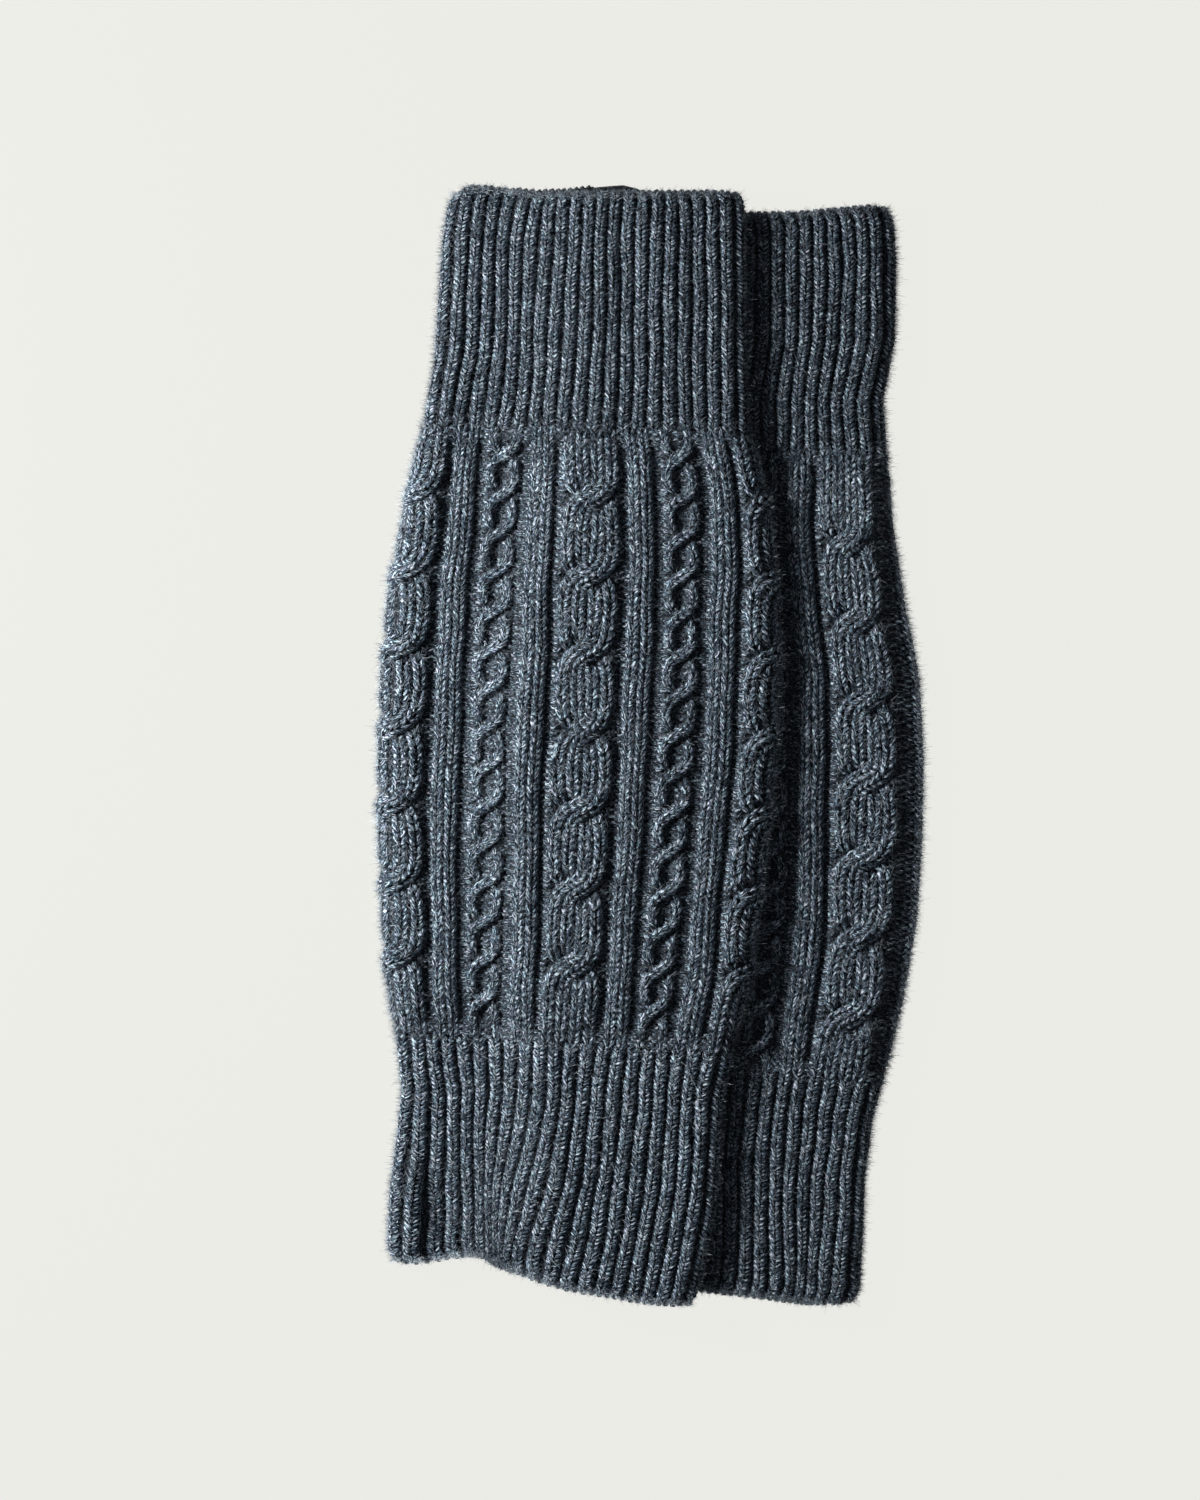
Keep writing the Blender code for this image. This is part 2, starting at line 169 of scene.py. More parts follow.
# A knit stitch: length in rows, reach of its foot and head in wales, half width and height
LEG_KNIT = (1.5, 0.09, 0.36, 1.12 * MM, 1.0 * MM)
CUFF_KNIT = (1.3, 0.05, 0.40, 0.82 * MM, 1.0 * MM)

# The half round of a strand where it shows, and underneath
FINE_ROUND = np.radians((200.0, 127.0, 53.0, -20.0))
COARSE_ROUND = np.radians((190.0, 90.0, -10.0))

# One arc of a purl stitch: share of its width, rise, half width, height and lift
PURL_ARC = (
    (0.00, 0.00, 0.60, 0.40, -0.15),
    (0.33, 0.85, 1.00, 1.00, 0.05),
    (0.67, 0.85, 1.00, 1.00, 0.05),
    (1.00, 0.00, 0.60, 0.40, -0.15),
)
PURL_COLUMNS = (0.0455, 0.0915, 0.0995)
PURL_RISE = 0.34
PURL_HALF_WIDTH = 0.80 * MM
PURL_HEIGHT = 1.0 * MM
PURL_LIFT = -0.45 * MM
HOLE_PURL_LIFT = -0.9 * MM

# A loop of the bound-off edge: millimetres in from the edge, lift, width, and which way it faces,
# outwards from the tube and onwards over the edge
EDGE_LOOP = (
    (2.3, -0.75, 0.55, 1.0, 0.0),
    (0.9, -0.15, 1.00, 0.9, 0.4),
    (-0.45, -0.80, 1.00, 0.1, 1.0),
    (-0.1, -2.0, 0.60, -0.9, 0.5),
)
EDGE_LOOP_HALF_WIDTH = 1.25 * MM
EDGE_LOOP_HEIGHT = 0.85 * MM
EDGE_LOOP_SLANT = 0.5
EDGE_LOOP_TONE = 0.75
LOOP_FROM_FOLD = 0.007

# The wales of the cables' strands, in half widths of the cable. reach, bow and turn say how far out
# a strand runs, how it bows between crossings and how soon it turns. squeeze is how far a crossing
# narrows it, and a stitch is left out where it is hidden by more than hidden.
CABLES = (
    {
        "at": 0.0, "half": BIG_CABLE_HALF, "per_pitch": 1, "last": 0, "reach": 0.49, "bow": 0.06,
        "turn": 0.11, "wales": (-0.265, 0.265), "wale": 0.53, "squeeze": 0.22, "hidden": 0.45,
    },
    {
        "at": SMALL_CABLE_AT, "half": SMALL_CABLE_HALF, "per_pitch": 2, "last": 1, "reach": 0.60,
        "bow": 0.25, "turn": 0.15, "wales": (0.0,), "wale": 0.62, "squeeze": 0.10, "hidden": 0.5,
    },
)
SQUEEZE_REACH = 1.6
STRAND_POINTS = 3000

# How the ribs of a cuff sway: size and length
RIB_SWAY = ((0.22 * MM, 9.0 * MM), (0.16 * MM, 4.1 * MM))

# Unevenness of the stitches: places in rows, in widths and round the edge, and sizes
ROW_JITTER = 0.05
PURL_ROW_JITTER = 0.06
PURL_JITTER = 0.03
LOOP_JITTER = 0.05
SIZE_JITTER = 0.06
LOOP_SIZE_JITTER = 0.08

# Over what reach a surface's direction is taken, for a stitch, an edge loop and a fibre
STITCH_REACH = 1.2 * MM
LOOP_REACH = 2.0 * MM
FIBRE_REACH = 1.5 * MM
STEP_DOWN = 1e-3

# Brightness: painted shade on yarn low in the ground, the depth from which the yarn is unshaded, and
# how much it differs from stitch to stitch
RECESS_SHADE_TONE = 0.55
UNSHADED_DEPTH = 0.8
TONE_SPREAD = 0.50
TONE_SEEDS = 53.0
YARN_SEEDS = 97.0
# Each piece's brightness, partly painted shade: the upper cuffs darker for the shade in their rib grooves,
# the back lower cuff darker for the shade of the front leg warmer over it
PIECE_TONES_AND_SHADE = {
    "front_upper_cuff": 0.74,
    "front_cable_leg": 0.87,
    "front_lower_cuff": 0.94,
    "back_upper_cuff": 0.73,
    "back_cable_leg": 0.88,
    "back_lower_cuff": 0.81,
}

# Loose fibres of a piece: lying, standing, at the folds and at the open edge
FIBRES = {
    "cuff": {"lying": 15000, "fuzz": 8000, "fold": 5000, "rim": 5000, "long": 900},
    "leg": {"lying": 38000, "fuzz": 16000, "fold": 13000, "rim": 0, "long": 2200},
}

# A short fibre: mean length, least and most rise, least and most half width, in millimetres, and
# least and most brightness
LYING_FIBRE = (1.5, -0.05, 0.25, 0.045, 0.085, 0.0, 1.0)
FUZZ_FIBRE = (0.95, 0.10, 0.8, 0.035, 0.065, 0.1, 1.0)
FRINGE_FIBRE = (1.6, 0.6, 3.0, 0.035, 0.07, 0.45, 1.2)
FIBRE_LENGTHS = 4.0
FIBRE_FOOT = (0.2, 0.55)
FIBRE_TIP = 0.4

# A long fibre, in millimetres: lengths, rise, sideways bend, foot, half width and tip
LONG_LENGTHS = (3.0, 0.75)
LONG_RISE = (0.2, 0.9)
LONG_BEND = 0.4
LONG_FOOT = (0.2, 0.6)
LONG_HALF_WIDTH = (0.022, 0.042)
LONG_TIP = 0.3

# How far on, sideways and up the middle and the end of a long fibre are
LONG_MIDDLE = (0.5, 0.3, 0.55)
LONG_END = (1.0, 1.0, 0.6)
FIBRE_SEEDS = 100

# Which way fibres head from the wales, as a mean angle and a spread, and where they are
LYING_WAY = (0.0, 0.95)
ANY_WAY = (0.0, 9.0)
RIM_SPREAD = 0.9
TOP_LAYER = (-0.02, 0.52)
FOLD_FRINGE = (-0.010, 0.009)
LEFT_FRINGE = 0.8
RIM_FROM_FOLD = 0.008
RIM_REACH = 0.012
RIM_OVER = 0.004

# Colours of the yarn's flecks, from dark to pale
YARN_STOPS = (
    (0.36, (0.003, 0.007, 0.013)),
    (0.44, (0.013, 0.025, 0.041)),
    (0.50, (0.042, 0.068, 0.101)),
    (0.56, (0.125, 0.180, 0.246)),
    (0.62, (0.325, 0.418, 0.505)),
    (0.69, (0.640, 0.735, 0.805)),
)
# Colours of the wall under the stitches, far darker than the yarn: painted shade, so that the wall shows as
# shadow in the gaps between stitches
SHADED_GROUND_STOPS = (
    (0.38, (0.004, 0.006, 0.009)),
    (0.50, (0.020, 0.027, 0.035)),
    (0.60, (0.050, 0.064, 0.080)),
    (0.70, (0.12, 0.145, 0.17)),
)
TINT_STOPS = ((0.36, (0.92, 1.01, 0.99)), (0.50, (1.0, 1.0, 1.0)), (0.64, (1.08, 0.97, 1.02)))
FIBRE_STOPS = ((0.0, (0.01, 0.016, 0.024)), (0.5, (0.09, 0.12, 0.16)), (1.0, (0.68, 0.77, 0.84)))
YARN_FLECK = (0.66, 1.9, 1.0)
GROUND_FLECK = (1.0, 1.0, 1.0)
CROSSING_SHARE = 0.45
CROSSING_AT = (0.0, 31.0, 5.0)
CROSSING_TURN = 0.7
MOTTLE_SCALE = 110.0
MOTTLE = 0.14
TINT_SCALE = 420.0
FLECK_DEPTH = 0.25 * MM
FLECK_DETAIL = 1.0
MOTTLE_DETAIL = 2.0

# Sheen and bump of the yarn and of the wall, and what all the wool has
YARN_LOOKS = (0.1, 0.6)
GROUND_LOOKS = (0.0, 0.5)
WOOL_SURFACE = {"Roughness": 0.9, "Specular IOR Level": 0.2, "Sheen Roughness": 0.5}
FIBRE_SURFACE = {"Roughness": 0.7, "Sheen Weight": 0.2}

# The floor, which is pale by its own even light
FLOOR_HALF = 3.0
FLOOR_AT = -0.2 * MM
FLOOR_SURFACE = {
    "Base Color": (0.012, 0.012, 0.0115, 1.0), "Roughness": 0.9, "Specular IOR Level": 0.0,
    "Emission Color": (1.0, 1.0, 0.95, 1.0), "Emission Strength": 0.826,
}

# The camera looks straight down from far off. Its frame is 1200 by 1500 pixels of the photograph.
PIXEL = 0.38 * MM
FRAME_HEIGHT = 1500 * PIXEL
CAMERA_HEIGHT = 2.6
KNITTING_TOP = 8 * MM
SENSOR = 36.0
CAMERA_AT = ((600 - 649) * PIXEL, (746.5 - 750) * PIXEL, CAMERA_HEIGHT)

# One soft lamp, low on the left, over an even, weak fill
LAMP_TOWARDS = (-1.8, 0.45, 1.0)
LAMP_DISTANCE = 0.75
LAMP_SIZE = 0.26
LAMP_POWER = 11.2
LAMP_COLOUR = (1.0, 0.99, 0.97)
FILL_COLOUR = (0.93, 0.96, 1.0, 1.0)
FILL_STRENGTH = 0.105

# Seen from above, in millimetres: along, left edge, right edge
FRONT_OUTLINE = (
    (209.5, -73.8, 33.6), (207.5, -75.6, 35.4), (204.5, -76.6, 36.2), (192.5, -78.5, 36.5),
    (169.5, -80.0, 37.0), (147.0, -81.5, 37.0), (120.5, -86.2, 38.0), (93.5, -91.3, 44.0),
    (63.5, -97.4, 47.5), (33.0, -100.4, 48.5), (2.5, -101.7, 47.5), (-28.0, -101.9, 45.0),
    (-58.5, -100.8, 41.5), (-88.5, -99.3, 37.5), (-111.5, -96.0, 32.5), (-130.5, -94.0, 28.5),
    (-149.5, -96.0, 27.0), (-168.5, -98.5, 26.0), (-187.5, -99.4, 23.0), (-191.0, -99.2, 22.3),
    (-195.0, -97.2, 21.4), (-206.0, -96.6, 18.7), (-209.0, -96.4, 17.4), (-210.8, -96.4, 15.8),
)
BACK_OUTLINE = (
    (204.0, -23.0, 90.4), (202.0, -23.0, 92.2), (199.0, -23.0, 93.2), (185.0, -24.0, 94.0),
    (154.5, -24.5, 93.5), (131.5, -25.5, 89.0), (111.0, -28.0, 90.5), (86.0, -34.0, 91.8),
    (55.5, -41.0, 96.6), (25.5, -46.5, 102.0), (-5.0, -49.0, 103.5), (-35.5, -49.0, 103.0),
    (-66.0, -46.5, 101.0), (-96.5, -42.0, 96.0), (-125.0, -37.0, 89.5), (-142.0, -35.5, 85.0),
    (-164.5, -35.5, 82.0), (-187.5, -36.0, 81.2), (-205.0, -36.9, 80.3), (-208.5, -37.0, 79.2),
    (-210.6, -37.0, 77.4),
)

# Share across, upper edge, upper seam, lower seam, lower edge, in millimetres
FRONT_EDGES = (
    (0.000, 210.0, 122.5, -109.0, -195.0),
    (0.040, 212.6, 122.5, -109.0, -195.9),
    (0.120, 212.2, 122.0, -109.5, -195.4),
    (0.180, 211.2, 121.8, -110.0, -194.1),
    (0.260, 210.2, 121.5, -110.5, -193.0),
    (0.300, 209.8, 121.3, -110.8, -193.7),
    (0.345, 209.6, 121.1, -111.2, -196.6),
    (0.390, 209.6, 121.0, -111.6, -198.8),
    (0.436, 209.6, 120.8, -111.8, -200.1),
    (0.480, 209.6, 120.6, -112.0, -202.2),
    (0.573, 209.8, 120.5, -112.6, -205.2),
    (0.664, 209.8, 120.3, -113.5, -206.9),
    (0.755, 209.8, 120.0, -114.5, -208.5),
    (0.846, 209.8, 119.8, -115.2, -210.3),
    (0.938, 209.8, 119.6, -115.8, -211.2),
    (1.000, 209.2, 119.5, -116.0, -211.0),
)
BACK_EDGES = (
    (0.00, 200.5, 111.0, -121.5, -202.0),
    (0.04, 202.5, 111.0, -121.5, -204.0),
    (0.50, 202.5, 111.0, -121.5, -206.6),
    (0.70, 202.5, 111.0, -123.5, -209.2),
    (0.85, 204.0, 111.0, -126.0, -211.4),
    (0.95, 205.0, 111.0, -128.0, -211.4),
    (1.00, 204.4, 111.0, -128.5, -210.6),
)

# Creases of the top layer: across, along, half width, half length, lean in degrees, height
FRONT_CREASES = (
    (-92.5, -174.0, 5.5, 25.0, 2.0, 2.6),
    (-80.5, -176.0, 6.0, 22.0, 12.0, -2.6),
    (-58.0, -184.0, 11.0, 22.0, -6.0, 2.6),
    (-36.0, -196.0, 9.0, 14.0, 0.0, -1.0),
    (-10.0, 168.0, 7.0, 42.0, 2.0, -1.2),
    (8.0, 170.0, 8.0, 36.0, 0.0, 0.8),
    (-62.0, 172.0, 9.0, 34.0, 6.0, 0.8),
    (-86.0, 100.0, 9.0, 20.0, 20.0, 1.2),
    (-30.0, -92.0, 40.0, 9.0, 3.0, 1.0),
    (-84.0, -96.0, 12.0, 9.0, 12.0, 1.0),
    (20.0, -98.0, 10.0, 12.0, -8.0, 0.9),
)
BACK_CREASES = (
    (80.0, -176.0, 7.0, 24.0, -3.0, 1.0),
    (62.0, -182.0, 6.0, 20.0, 4.0, -1.0),
    (84.0, 150.0, 6.0, 30.0, 4.0, 1.0),
    (88.0, 92.0, 9.0, 16.0, -18.0, 1.2),
    (70.0, -106.0, 22.0, 9.0, -6.0, 1.0),
)

# Where the knitting is drawn together: across, along, half width, half length, share drawn in
FRONT_GATHERS = ((-59.0, -196.0, 25.0, 46.0, 0.62),)
BACK_GATHERS = ((60.0, -204.0, 15.0, 26.0, 0.22),)

# How far the rear layer's edge peeks out over the top layer's: across, along
FRONT_PEEK = (
    (-58.0, 0.0), (-49.0, 1.2), (-30.0, 1.8), (-19.0, 3.0), (-10.0, 3.6), (-5.5, 2.8), (-2.0, 0.0),
)

# Each piece's place between the columns of the edges tables
PIECES = (("upper_cuff", 1, 2), ("cable_leg", 2, 3), ("lower_cuff", 3, 4))


def smooth(value):
    """An ease from 0 to 1."""
    t = np.clip(value, 0.0, 1.0)
    return t * t * (3.0 - 2.0 * t)


class LegWarmer:
    """The outline, the section and the pattern's place of one leg warmer."""

    def __init__(self, name, outline, edges, creases, gathers, pattern_at, first_crossing, left_puff=0.0):
        self.name = name
        rows = np.array(outline)[::-1] * MM
        self.along = rows[:, 0]
        self.left_edge = rows[:, 1] + OUTLINE_INSET
        self.right_edge = rows[:, 2] - OUTLINE_INSET
        self.across = np.array(edges)[:, 0]
        self.lines = np.array(edges) * MM
        self.creases = creases
        self.gathers = gathers
        self.pattern_at = pattern_at
        self.first_crossing = first_crossing
        self.middle = 2.0 * WALL + LAYER_GAP
        self.left_radius = (self.middle + left_puff) / 2.0
        self.right_radius = (self.middle + FOLD_PUFF) / 2.0
        self.fold_stretch = 0.0
        self.peek = None
        self.underneath = None
        self.on_top = None

    def left(self, y):
        return np.interp(y, self.along, self.left_edge)

    def right(self, y):
        return np.interp(y, self.along, self.right_edge)

    def line(self, upper, lower, down, share):
        """The place along the leg of a point some way down from one line to another."""
        start = np.interp(share, self.across, self.lines[:, upper])
        end = np.interp(share, self.across, self.lines[:, lower])
        return start + (end - start) * down

    def ends(self, upper, lower, down):
        """The left and right edges of the row some way down a piece."""
        left = self.left(self.line(upper, lower, down, np.zeros_like(down)))
        right = self.right(self.line(upper, lower, down, np.ones_like(down)))
        return left, right

    def top(self, x, left, right):
        """The height of the flattened top layer, puffed a little next to its folds."""
        from_left = (x - left - self.left_radius) / FOLD_PUFF_REACH
        from_right = (right - self.right_radius - x) / FOLD_PUFF_REACH
        puff = (2.0 * self.left_radius - self.middle) * np.exp(-from_left**2)
        puff += (2.0 * self.right_radius - self.middle) * np.exp(-from_right**2)
        return self.middle + puff

    def section(self, share, left, right):
        """Across and up, of the plain outer surface at a share of the round."""
        a, b = self.left_radius, self.right_radius
        flat = right - left - a - b
        a_arc, b_arc = np.pi / 2 * a, np.pi / 2 * b
        run = np.mod(share, 1.0) * 2.0 * (flat + a_arc + b_arc)
        on_top = left + a + (run - a_arc)
        right_turn = (run - a_arc - flat) / b
        below = right - b - (run - a_arc - flat - 2.0 * b_arc)
        left_turn = (run - a_arc - 2.0 * flat - 2.0 * b_arc) / a
        where = [run < a_arc, right_turn < 0.0, right_turn < np.pi, left_turn < 0.0]
        x_parts = [left + a - a * np.cos(run / a), on_top, right - b + b * np.sin(right_turn), below]
        z_parts = [
            a + a * np.sin(run / a),
            self.top(on_top, left, right),
            b + b * np.cos(right_turn),
            np.zeros_like(run),
        ]
        x = np.select(where, x_parts, left + a - a * np.sin(left_turn))
        z = np.select(where, z_parts, a - a * np.cos(left_turn))
        return x, z

    def surface(self, share, upper, lower, down, lift):
        """Points of a piece at shares of the round and its length, lifted off the plain surface."""
        left, right = self.ends(upper, lower, down)
        x, z = self.section(share, left, right)
        x_next, z_next = self.section(share + DIRECTION_STEP, left, right)
        x_last, z_last = self.section(share - DIRECTION_STEP, left, right)
        run_x, run_z = x_next - x_last, z_next - z_last
        size = np.hypot(run_x, run_z)
        x = x - run_z / size * lift
        z = z + run_x / size * lift
        y = self.line(upper, lower, down, np.clip((x - left) / (right - left), 0.0, 1.0))
        x = x + self.sway(x, y, left, right)
        y = self.line(upper, lower, down, np.clip((x - left) / (right - left), 0.0, 1.0))
        on_top = smooth(z / self.middle)
        if upper == 1 and self.peek is not None:
            y = y + np.interp(x, *self.peek) * (1.0 - on_top) * smooth(1.0 - down)
        raised = self.crease(x, y) - self.fall(x, left, right) + self.bridge(x, y)
        return np.stack([x, y, z + raised * on_top + self.climb(x, y)], axis=-1)

    def fall(self, x, left, right):
        """How far the top layer falls towards its folds."""
        return FOLD_FALL * (1.0 - smooth(np.minimum(x - left, right - x) / FOLD_FALL_REACH))

    def sway(self, x, y, left, right):
        """How far the wales wander sideways, and how far they are drawn in where they gather."""
        u, v = x / MM, y / MM
        moved = np.zeros_like(x)
        for size, *waves in WANDER:
            moved = moved + size * np.prod([np.sin(u / a + v / b + start) for a, b, start in waves], axis=0)
        for across, along, half_width, half_length, share in self.gathers:
            near = np.exp(-(((u - across) / half_width) ** 2) - ((v - along) / half_length) ** 2)
            moved = moved - share * (u - across) * near
        return moved * smooth(np.minimum(x - left, right - x) / WANDER_FADE) * MM

    def gathered(self, x, y):
        """How closely the wales are drawn together."""
        total = np.zeros_like(x)
        for across, along, half_width, half_length, share in self.gathers:
            u, v = (x / MM - across) / half_width, (y / MM - along) / half_length
            total = total + share * np.exp(-2.0 * u**2 - v**2)
        return total

    def crease(self, x, y):
        """How far the creases raise or sink the top layer."""
        total = np.zeros_like(x)
        for across, along, half_width, half_length, lean, height in self.creases:
            dx, dy = x / MM - across, y / MM - along
            turned = np.radians(lean)
            u = (dx * np.cos(turned) + dy * np.sin(turned)) / half_width
            v = (dy * np.cos(turned) - dx * np.sin(turned)) / half_length
            total = total + height * MM * np.exp(-(u**2) - v**2)
        return total

    def step(self, x, y):
        """How high the leg warmer underneath is, and how far a point is past its left edge."""
        below = self.underneath
        if below is None:
            return 0.0, np.zeros_like(x)
        return below.middle + HIDDEN_HEIGHT + REST_GAP, x - below.left(y)

    def climb(self, x, y):
        """How far a point is raised by the leg warmer underneath."""
        height, past = self.step(x, y)
        return height * smooth((past + CLIMB) / CLIMB)

    def bridge(self, x, y):
        """How far the top layer of the upper cuff spans the step up onto the leg warmer underneath."""
        height, past = self.step(x, y)
        spanned = smooth((past + BRIDGE_FROM) / BRIDGE_LENGTH) - smooth((past + CLIMB) / CLIMB)
        return height * spanned * smooth((y - BRIDGE_AT) / BRIDGE_EASE)

    def shown(self, x, y):
        """1 where the top layer shows, 0 where the other leg warmer covers it."""
        above = self.on_top
        if above is None:
            return np.ones_like(x)
        return smooth((x - above.right(y) + EDGE_FADE) / EDGE_FADE)


def cable(across, along, lean, hole, first, last):
    """The height share of a two-strand cable, its strands parted round a hole if hole is above 0.

    across runs from -1 to 1 and along in crossings towards the upper cuff, whole at each crossing.
    A rounded band leans up to the right over each crossing. It runs on down the left strand and up
    the right one, until each tucks under the next band.
    """
    leaned = along - lean * (STRAIGHT_LEAN * across + (1.0 - STRAIGHT_LEAN) * across**3)
    nearest = np.clip(np.round(leaned), first, last)
    phase = leaned - nearest
    band = np.clip(1.0 - (phase / BAND_HALF) ** 2, 0.0, 1.0) ** BAND_ROUNDING
    left_run = np.where((phase < 0.0) & (nearest > first), -phase, 0.0)
    left_run = np.where(phase > 0.0, 1.0 - phase, left_run)
    right_run = np.where((phase > 0.0) & (nearest < last), phase, 0.0)
    right_run = np.where(phase < 0.0, 1.0 + phase, right_run)
    run = left_run + (right_run - left_run) * smooth(0.5 + across / STRAND_BLEND)
    bulge = STRAND_BULGE * np.sin(np.pi * np.clip(run, 0.0, 1.0))
    strand = STRAND_LEVEL + bulge - TUCK_DEPTH * smooth((run - TUCK_START) / TUCK_LENGTH)
    parted = hole * np.exp(-((across / HOLE_HALF) ** 2)) * (1.0 - band)
    rounding = np.sqrt(np.clip(1.0 - (np.abs(across) / CABLE_FOOT) ** 4, 0.0, 1.0))
    return rounding * np.maximum(band, strand - parted)


def pattern_ease(distance):
    """How far the pattern is drawn in from the folds, less so near the seams."""
    near_top = 1.0 - smooth(distance / TOP_SPREAD_REACH)
    near_end = smooth((distance - LOW_SPREAD_FROM) / LOW_SPREAD_REACH)
    return PATTERN_EASE - TOP_SPREAD * near_top - LOW_SPREAD * near_end


def stretch(leg, from_centre):
    """How far the ground is stretched between the big cable on top and the right fold."""
    rising = smooth((from_centre - STRETCH_FROM) / STRETCH_REACH)
    falling = smooth((from_centre - STRETCH_BACK_FROM) / STRETCH_BACK_REACH)
    return leg.fold_stretch * (rising - falling)


def pattern_place(leg, share, distance):
    """The place in the pattern, in shares of the round from the middle of the nearest big cable."""
    from_centre = np.mod(share - leg.pattern_at + 0.5, 1.0) - 0.5
    eased = from_centre + pattern_ease(distance) * np.sin(2.0 * np.pi * from_centre)
    eased = eased - stretch(leg, from_centre)
    return eased - PATTERN_REPEAT * np.round(eased / PATTERN_REPEAT)


def share_of(leg, eased, distance):
    """The share of the round of a place counted from the middle of the big cable on top."""
    ease = pattern_ease(distance)
    share = eased
    for _ in range(PLACE_ROUNDS):
        from_centre = np.mod(share + 0.5, 1.0) - 0.5
        share = eased - ease * np.sin(2.0 * np.pi * share) + stretch(leg, from_centre)
    return np.mod(share + leg.pattern_at, 1.0)


def leg_height(leg, share, distance):
    """The raised knitting of the cabled leg, by share of the round and distance below its seam."""
    place = pattern_place(leg, share, distance)
    along = (leg.first_crossing - distance) / CROSSING_PITCH
    big = cable(place / BIG_CABLE_HALF, along, BIG_CABLE_LEAN, BIG_HOLE_DEPTH, 1 - CROSSINGS, 0)
    twist = (np.abs(place) - SMALL_CABLE_AT) * np.sign(place) / SMALL_CABLE_HALF
    small = cable(twist, 2.0 * along, SMALL_CABLE_LEAN, HOLE_DEPTH, 1 - 2 * CROSSINGS, 1)
    from_column = np.abs(np.abs(place) - RIB_COLUMN_AT) / RIB_COLUMN_HALF
    rib = np.sqrt(np.clip(1.0 - from_column**3, 0.0, 1.0))
    heights = [BIG_CABLE_HEIGHT * big, SMALL_CABLE_HEIGHT * small, RIB_COLUMN_HEIGHT * rib]
    return np.maximum.reduce(heights)


def cuff_height(share):
    """The raised single ribs of a cuff."""
    groove = 0.5 + 0.5 * np.cos(2.0 * np.pi * CUFF_RIBS * share)
    return CUFF_RIB_HEIGHT * (1.0 - groove**2)


def fold_fade(share):
    """1 over the top layer and its folds, fading to 0 round the lower half of each fold."""
    past = np.abs(np.mod(share + 0.25, 1.0) - 0.5) - 0.25
    return 1.0 - smooth(past / FOLD_FADE)


class Piece:
    """One knitted piece of a leg warmer, as a surface that stitches are laid on."""

    def __init__(self, leg, name, upper, lower):
        self.leg = leg
        self.node = f"{leg.name}_{name}"
        self.is_cuff = name != "cable_leg"
        self.upper, self.lower = upper, lower
        middle = leg.lines[len(leg.lines) // 2]
        self.length = middle[upper] - middle[lower]
        self.knit = CUFF_KNIT if self.is_cuff else LEG_KNIT
        self.row = CUFF_ROW if self.is_cuff else LEG_ROW
        self.round = CUFF_ROUND if self.is_cuff else LEG_ROUND
        self.rows = int(round(self.length / self.row))
        self.highest = CUFF_RIB_HEIGHT if self.is_cuff else BIG_CABLE_HEIGHT
        # The piece's brightness with its painted shade, carried on to every point's tone
        self.tone = PIECE_TONES_AND_SHADE[self.node]

    def plain(self, share, down, lift=0.0):
        """Points at a lift over the plain surface."""
        return self.leg.surface(share, self.upper, self.lower, down, lift)

    def height(self, share, down):
        """The height of the raised knitting, which is low where the other leg warmer covers it."""
        from_top, from_bottom = down * self.length, (1.0 - down) * self.length
        if self.is_cuff:
            eased = smooth((from_bottom if self.upper == 1 else from_top) / CUFF_SEAM_EASE)
            height = cuff_height(share) * eased + CUFF_SEAM_FULLNESS * (1.0 - eased)
        else:
            eased = smooth(np.minimum(from_top, from_bottom) / LEG_SEAM_EASE)
            relief = LEG_SEAM_RELIEF + (1.0 - LEG_SEAM_RELIEF) * eased
            height = leg_height(self.leg, share, down * self.length) * relief
            height = np.maximum(height, LEG_SEAM_FULLNESS * (1.0 - eased))
        x, y = np.moveaxis(self.plain(share, down)[..., :2], -1, 0)
        height = height * (1.0 - GATHER_FLATTEN * self.leg.gathered(x, y))
        height = HIDDEN_HEIGHT + (height - HIDDEN_HEIGHT) * self.leg.shown(x, y)
        return height * fold_fade(share)

    def cloth(self, share, down, lift=0.0):
        """Points at a lift over the raised knitting."""
        return self.plain(share, down, self.height(share, down) + lift)

    def normal(self, share, down, reach):
        """The raised surface's outward direction, averaged over a reach."""
        across, along = reach / self.round, reach / self.length
        over = self.cloth(share + across, down) - self.cloth(share - across, down)
        on = self.cloth(share, down + along) - self.cloth(share, down - along)
        return unit(np.cross(on, over))

    def side(self, share, down):
        """0 for stitches that nothing shows, 1 for those underneath and 2 for those that show."""
        leg = self.leg
        x, y = np.moveaxis(self.plain(share, down)[..., :2], -1, 0)
        top = np.abs(np.mod(share + 0.25, 1.0) - 0.5) < 0.25 + FOLD_FADE
        if leg.on_top:
            covered = x < leg.on_top.right(y) - 2.0 * EDGE_FADE
            return np.where(top, np.where(covered, 0, 2), 1)
        lifted = x > leg.underneath.left(y)
        return np.where(top, 2, np.where(lifted, 0, 1))


def unit(vectors):
    """Vectors made one long."""
    return vectors / np.maximum(np.linalg.norm(vectors, axis=-1, keepdims=True), 1e-12)


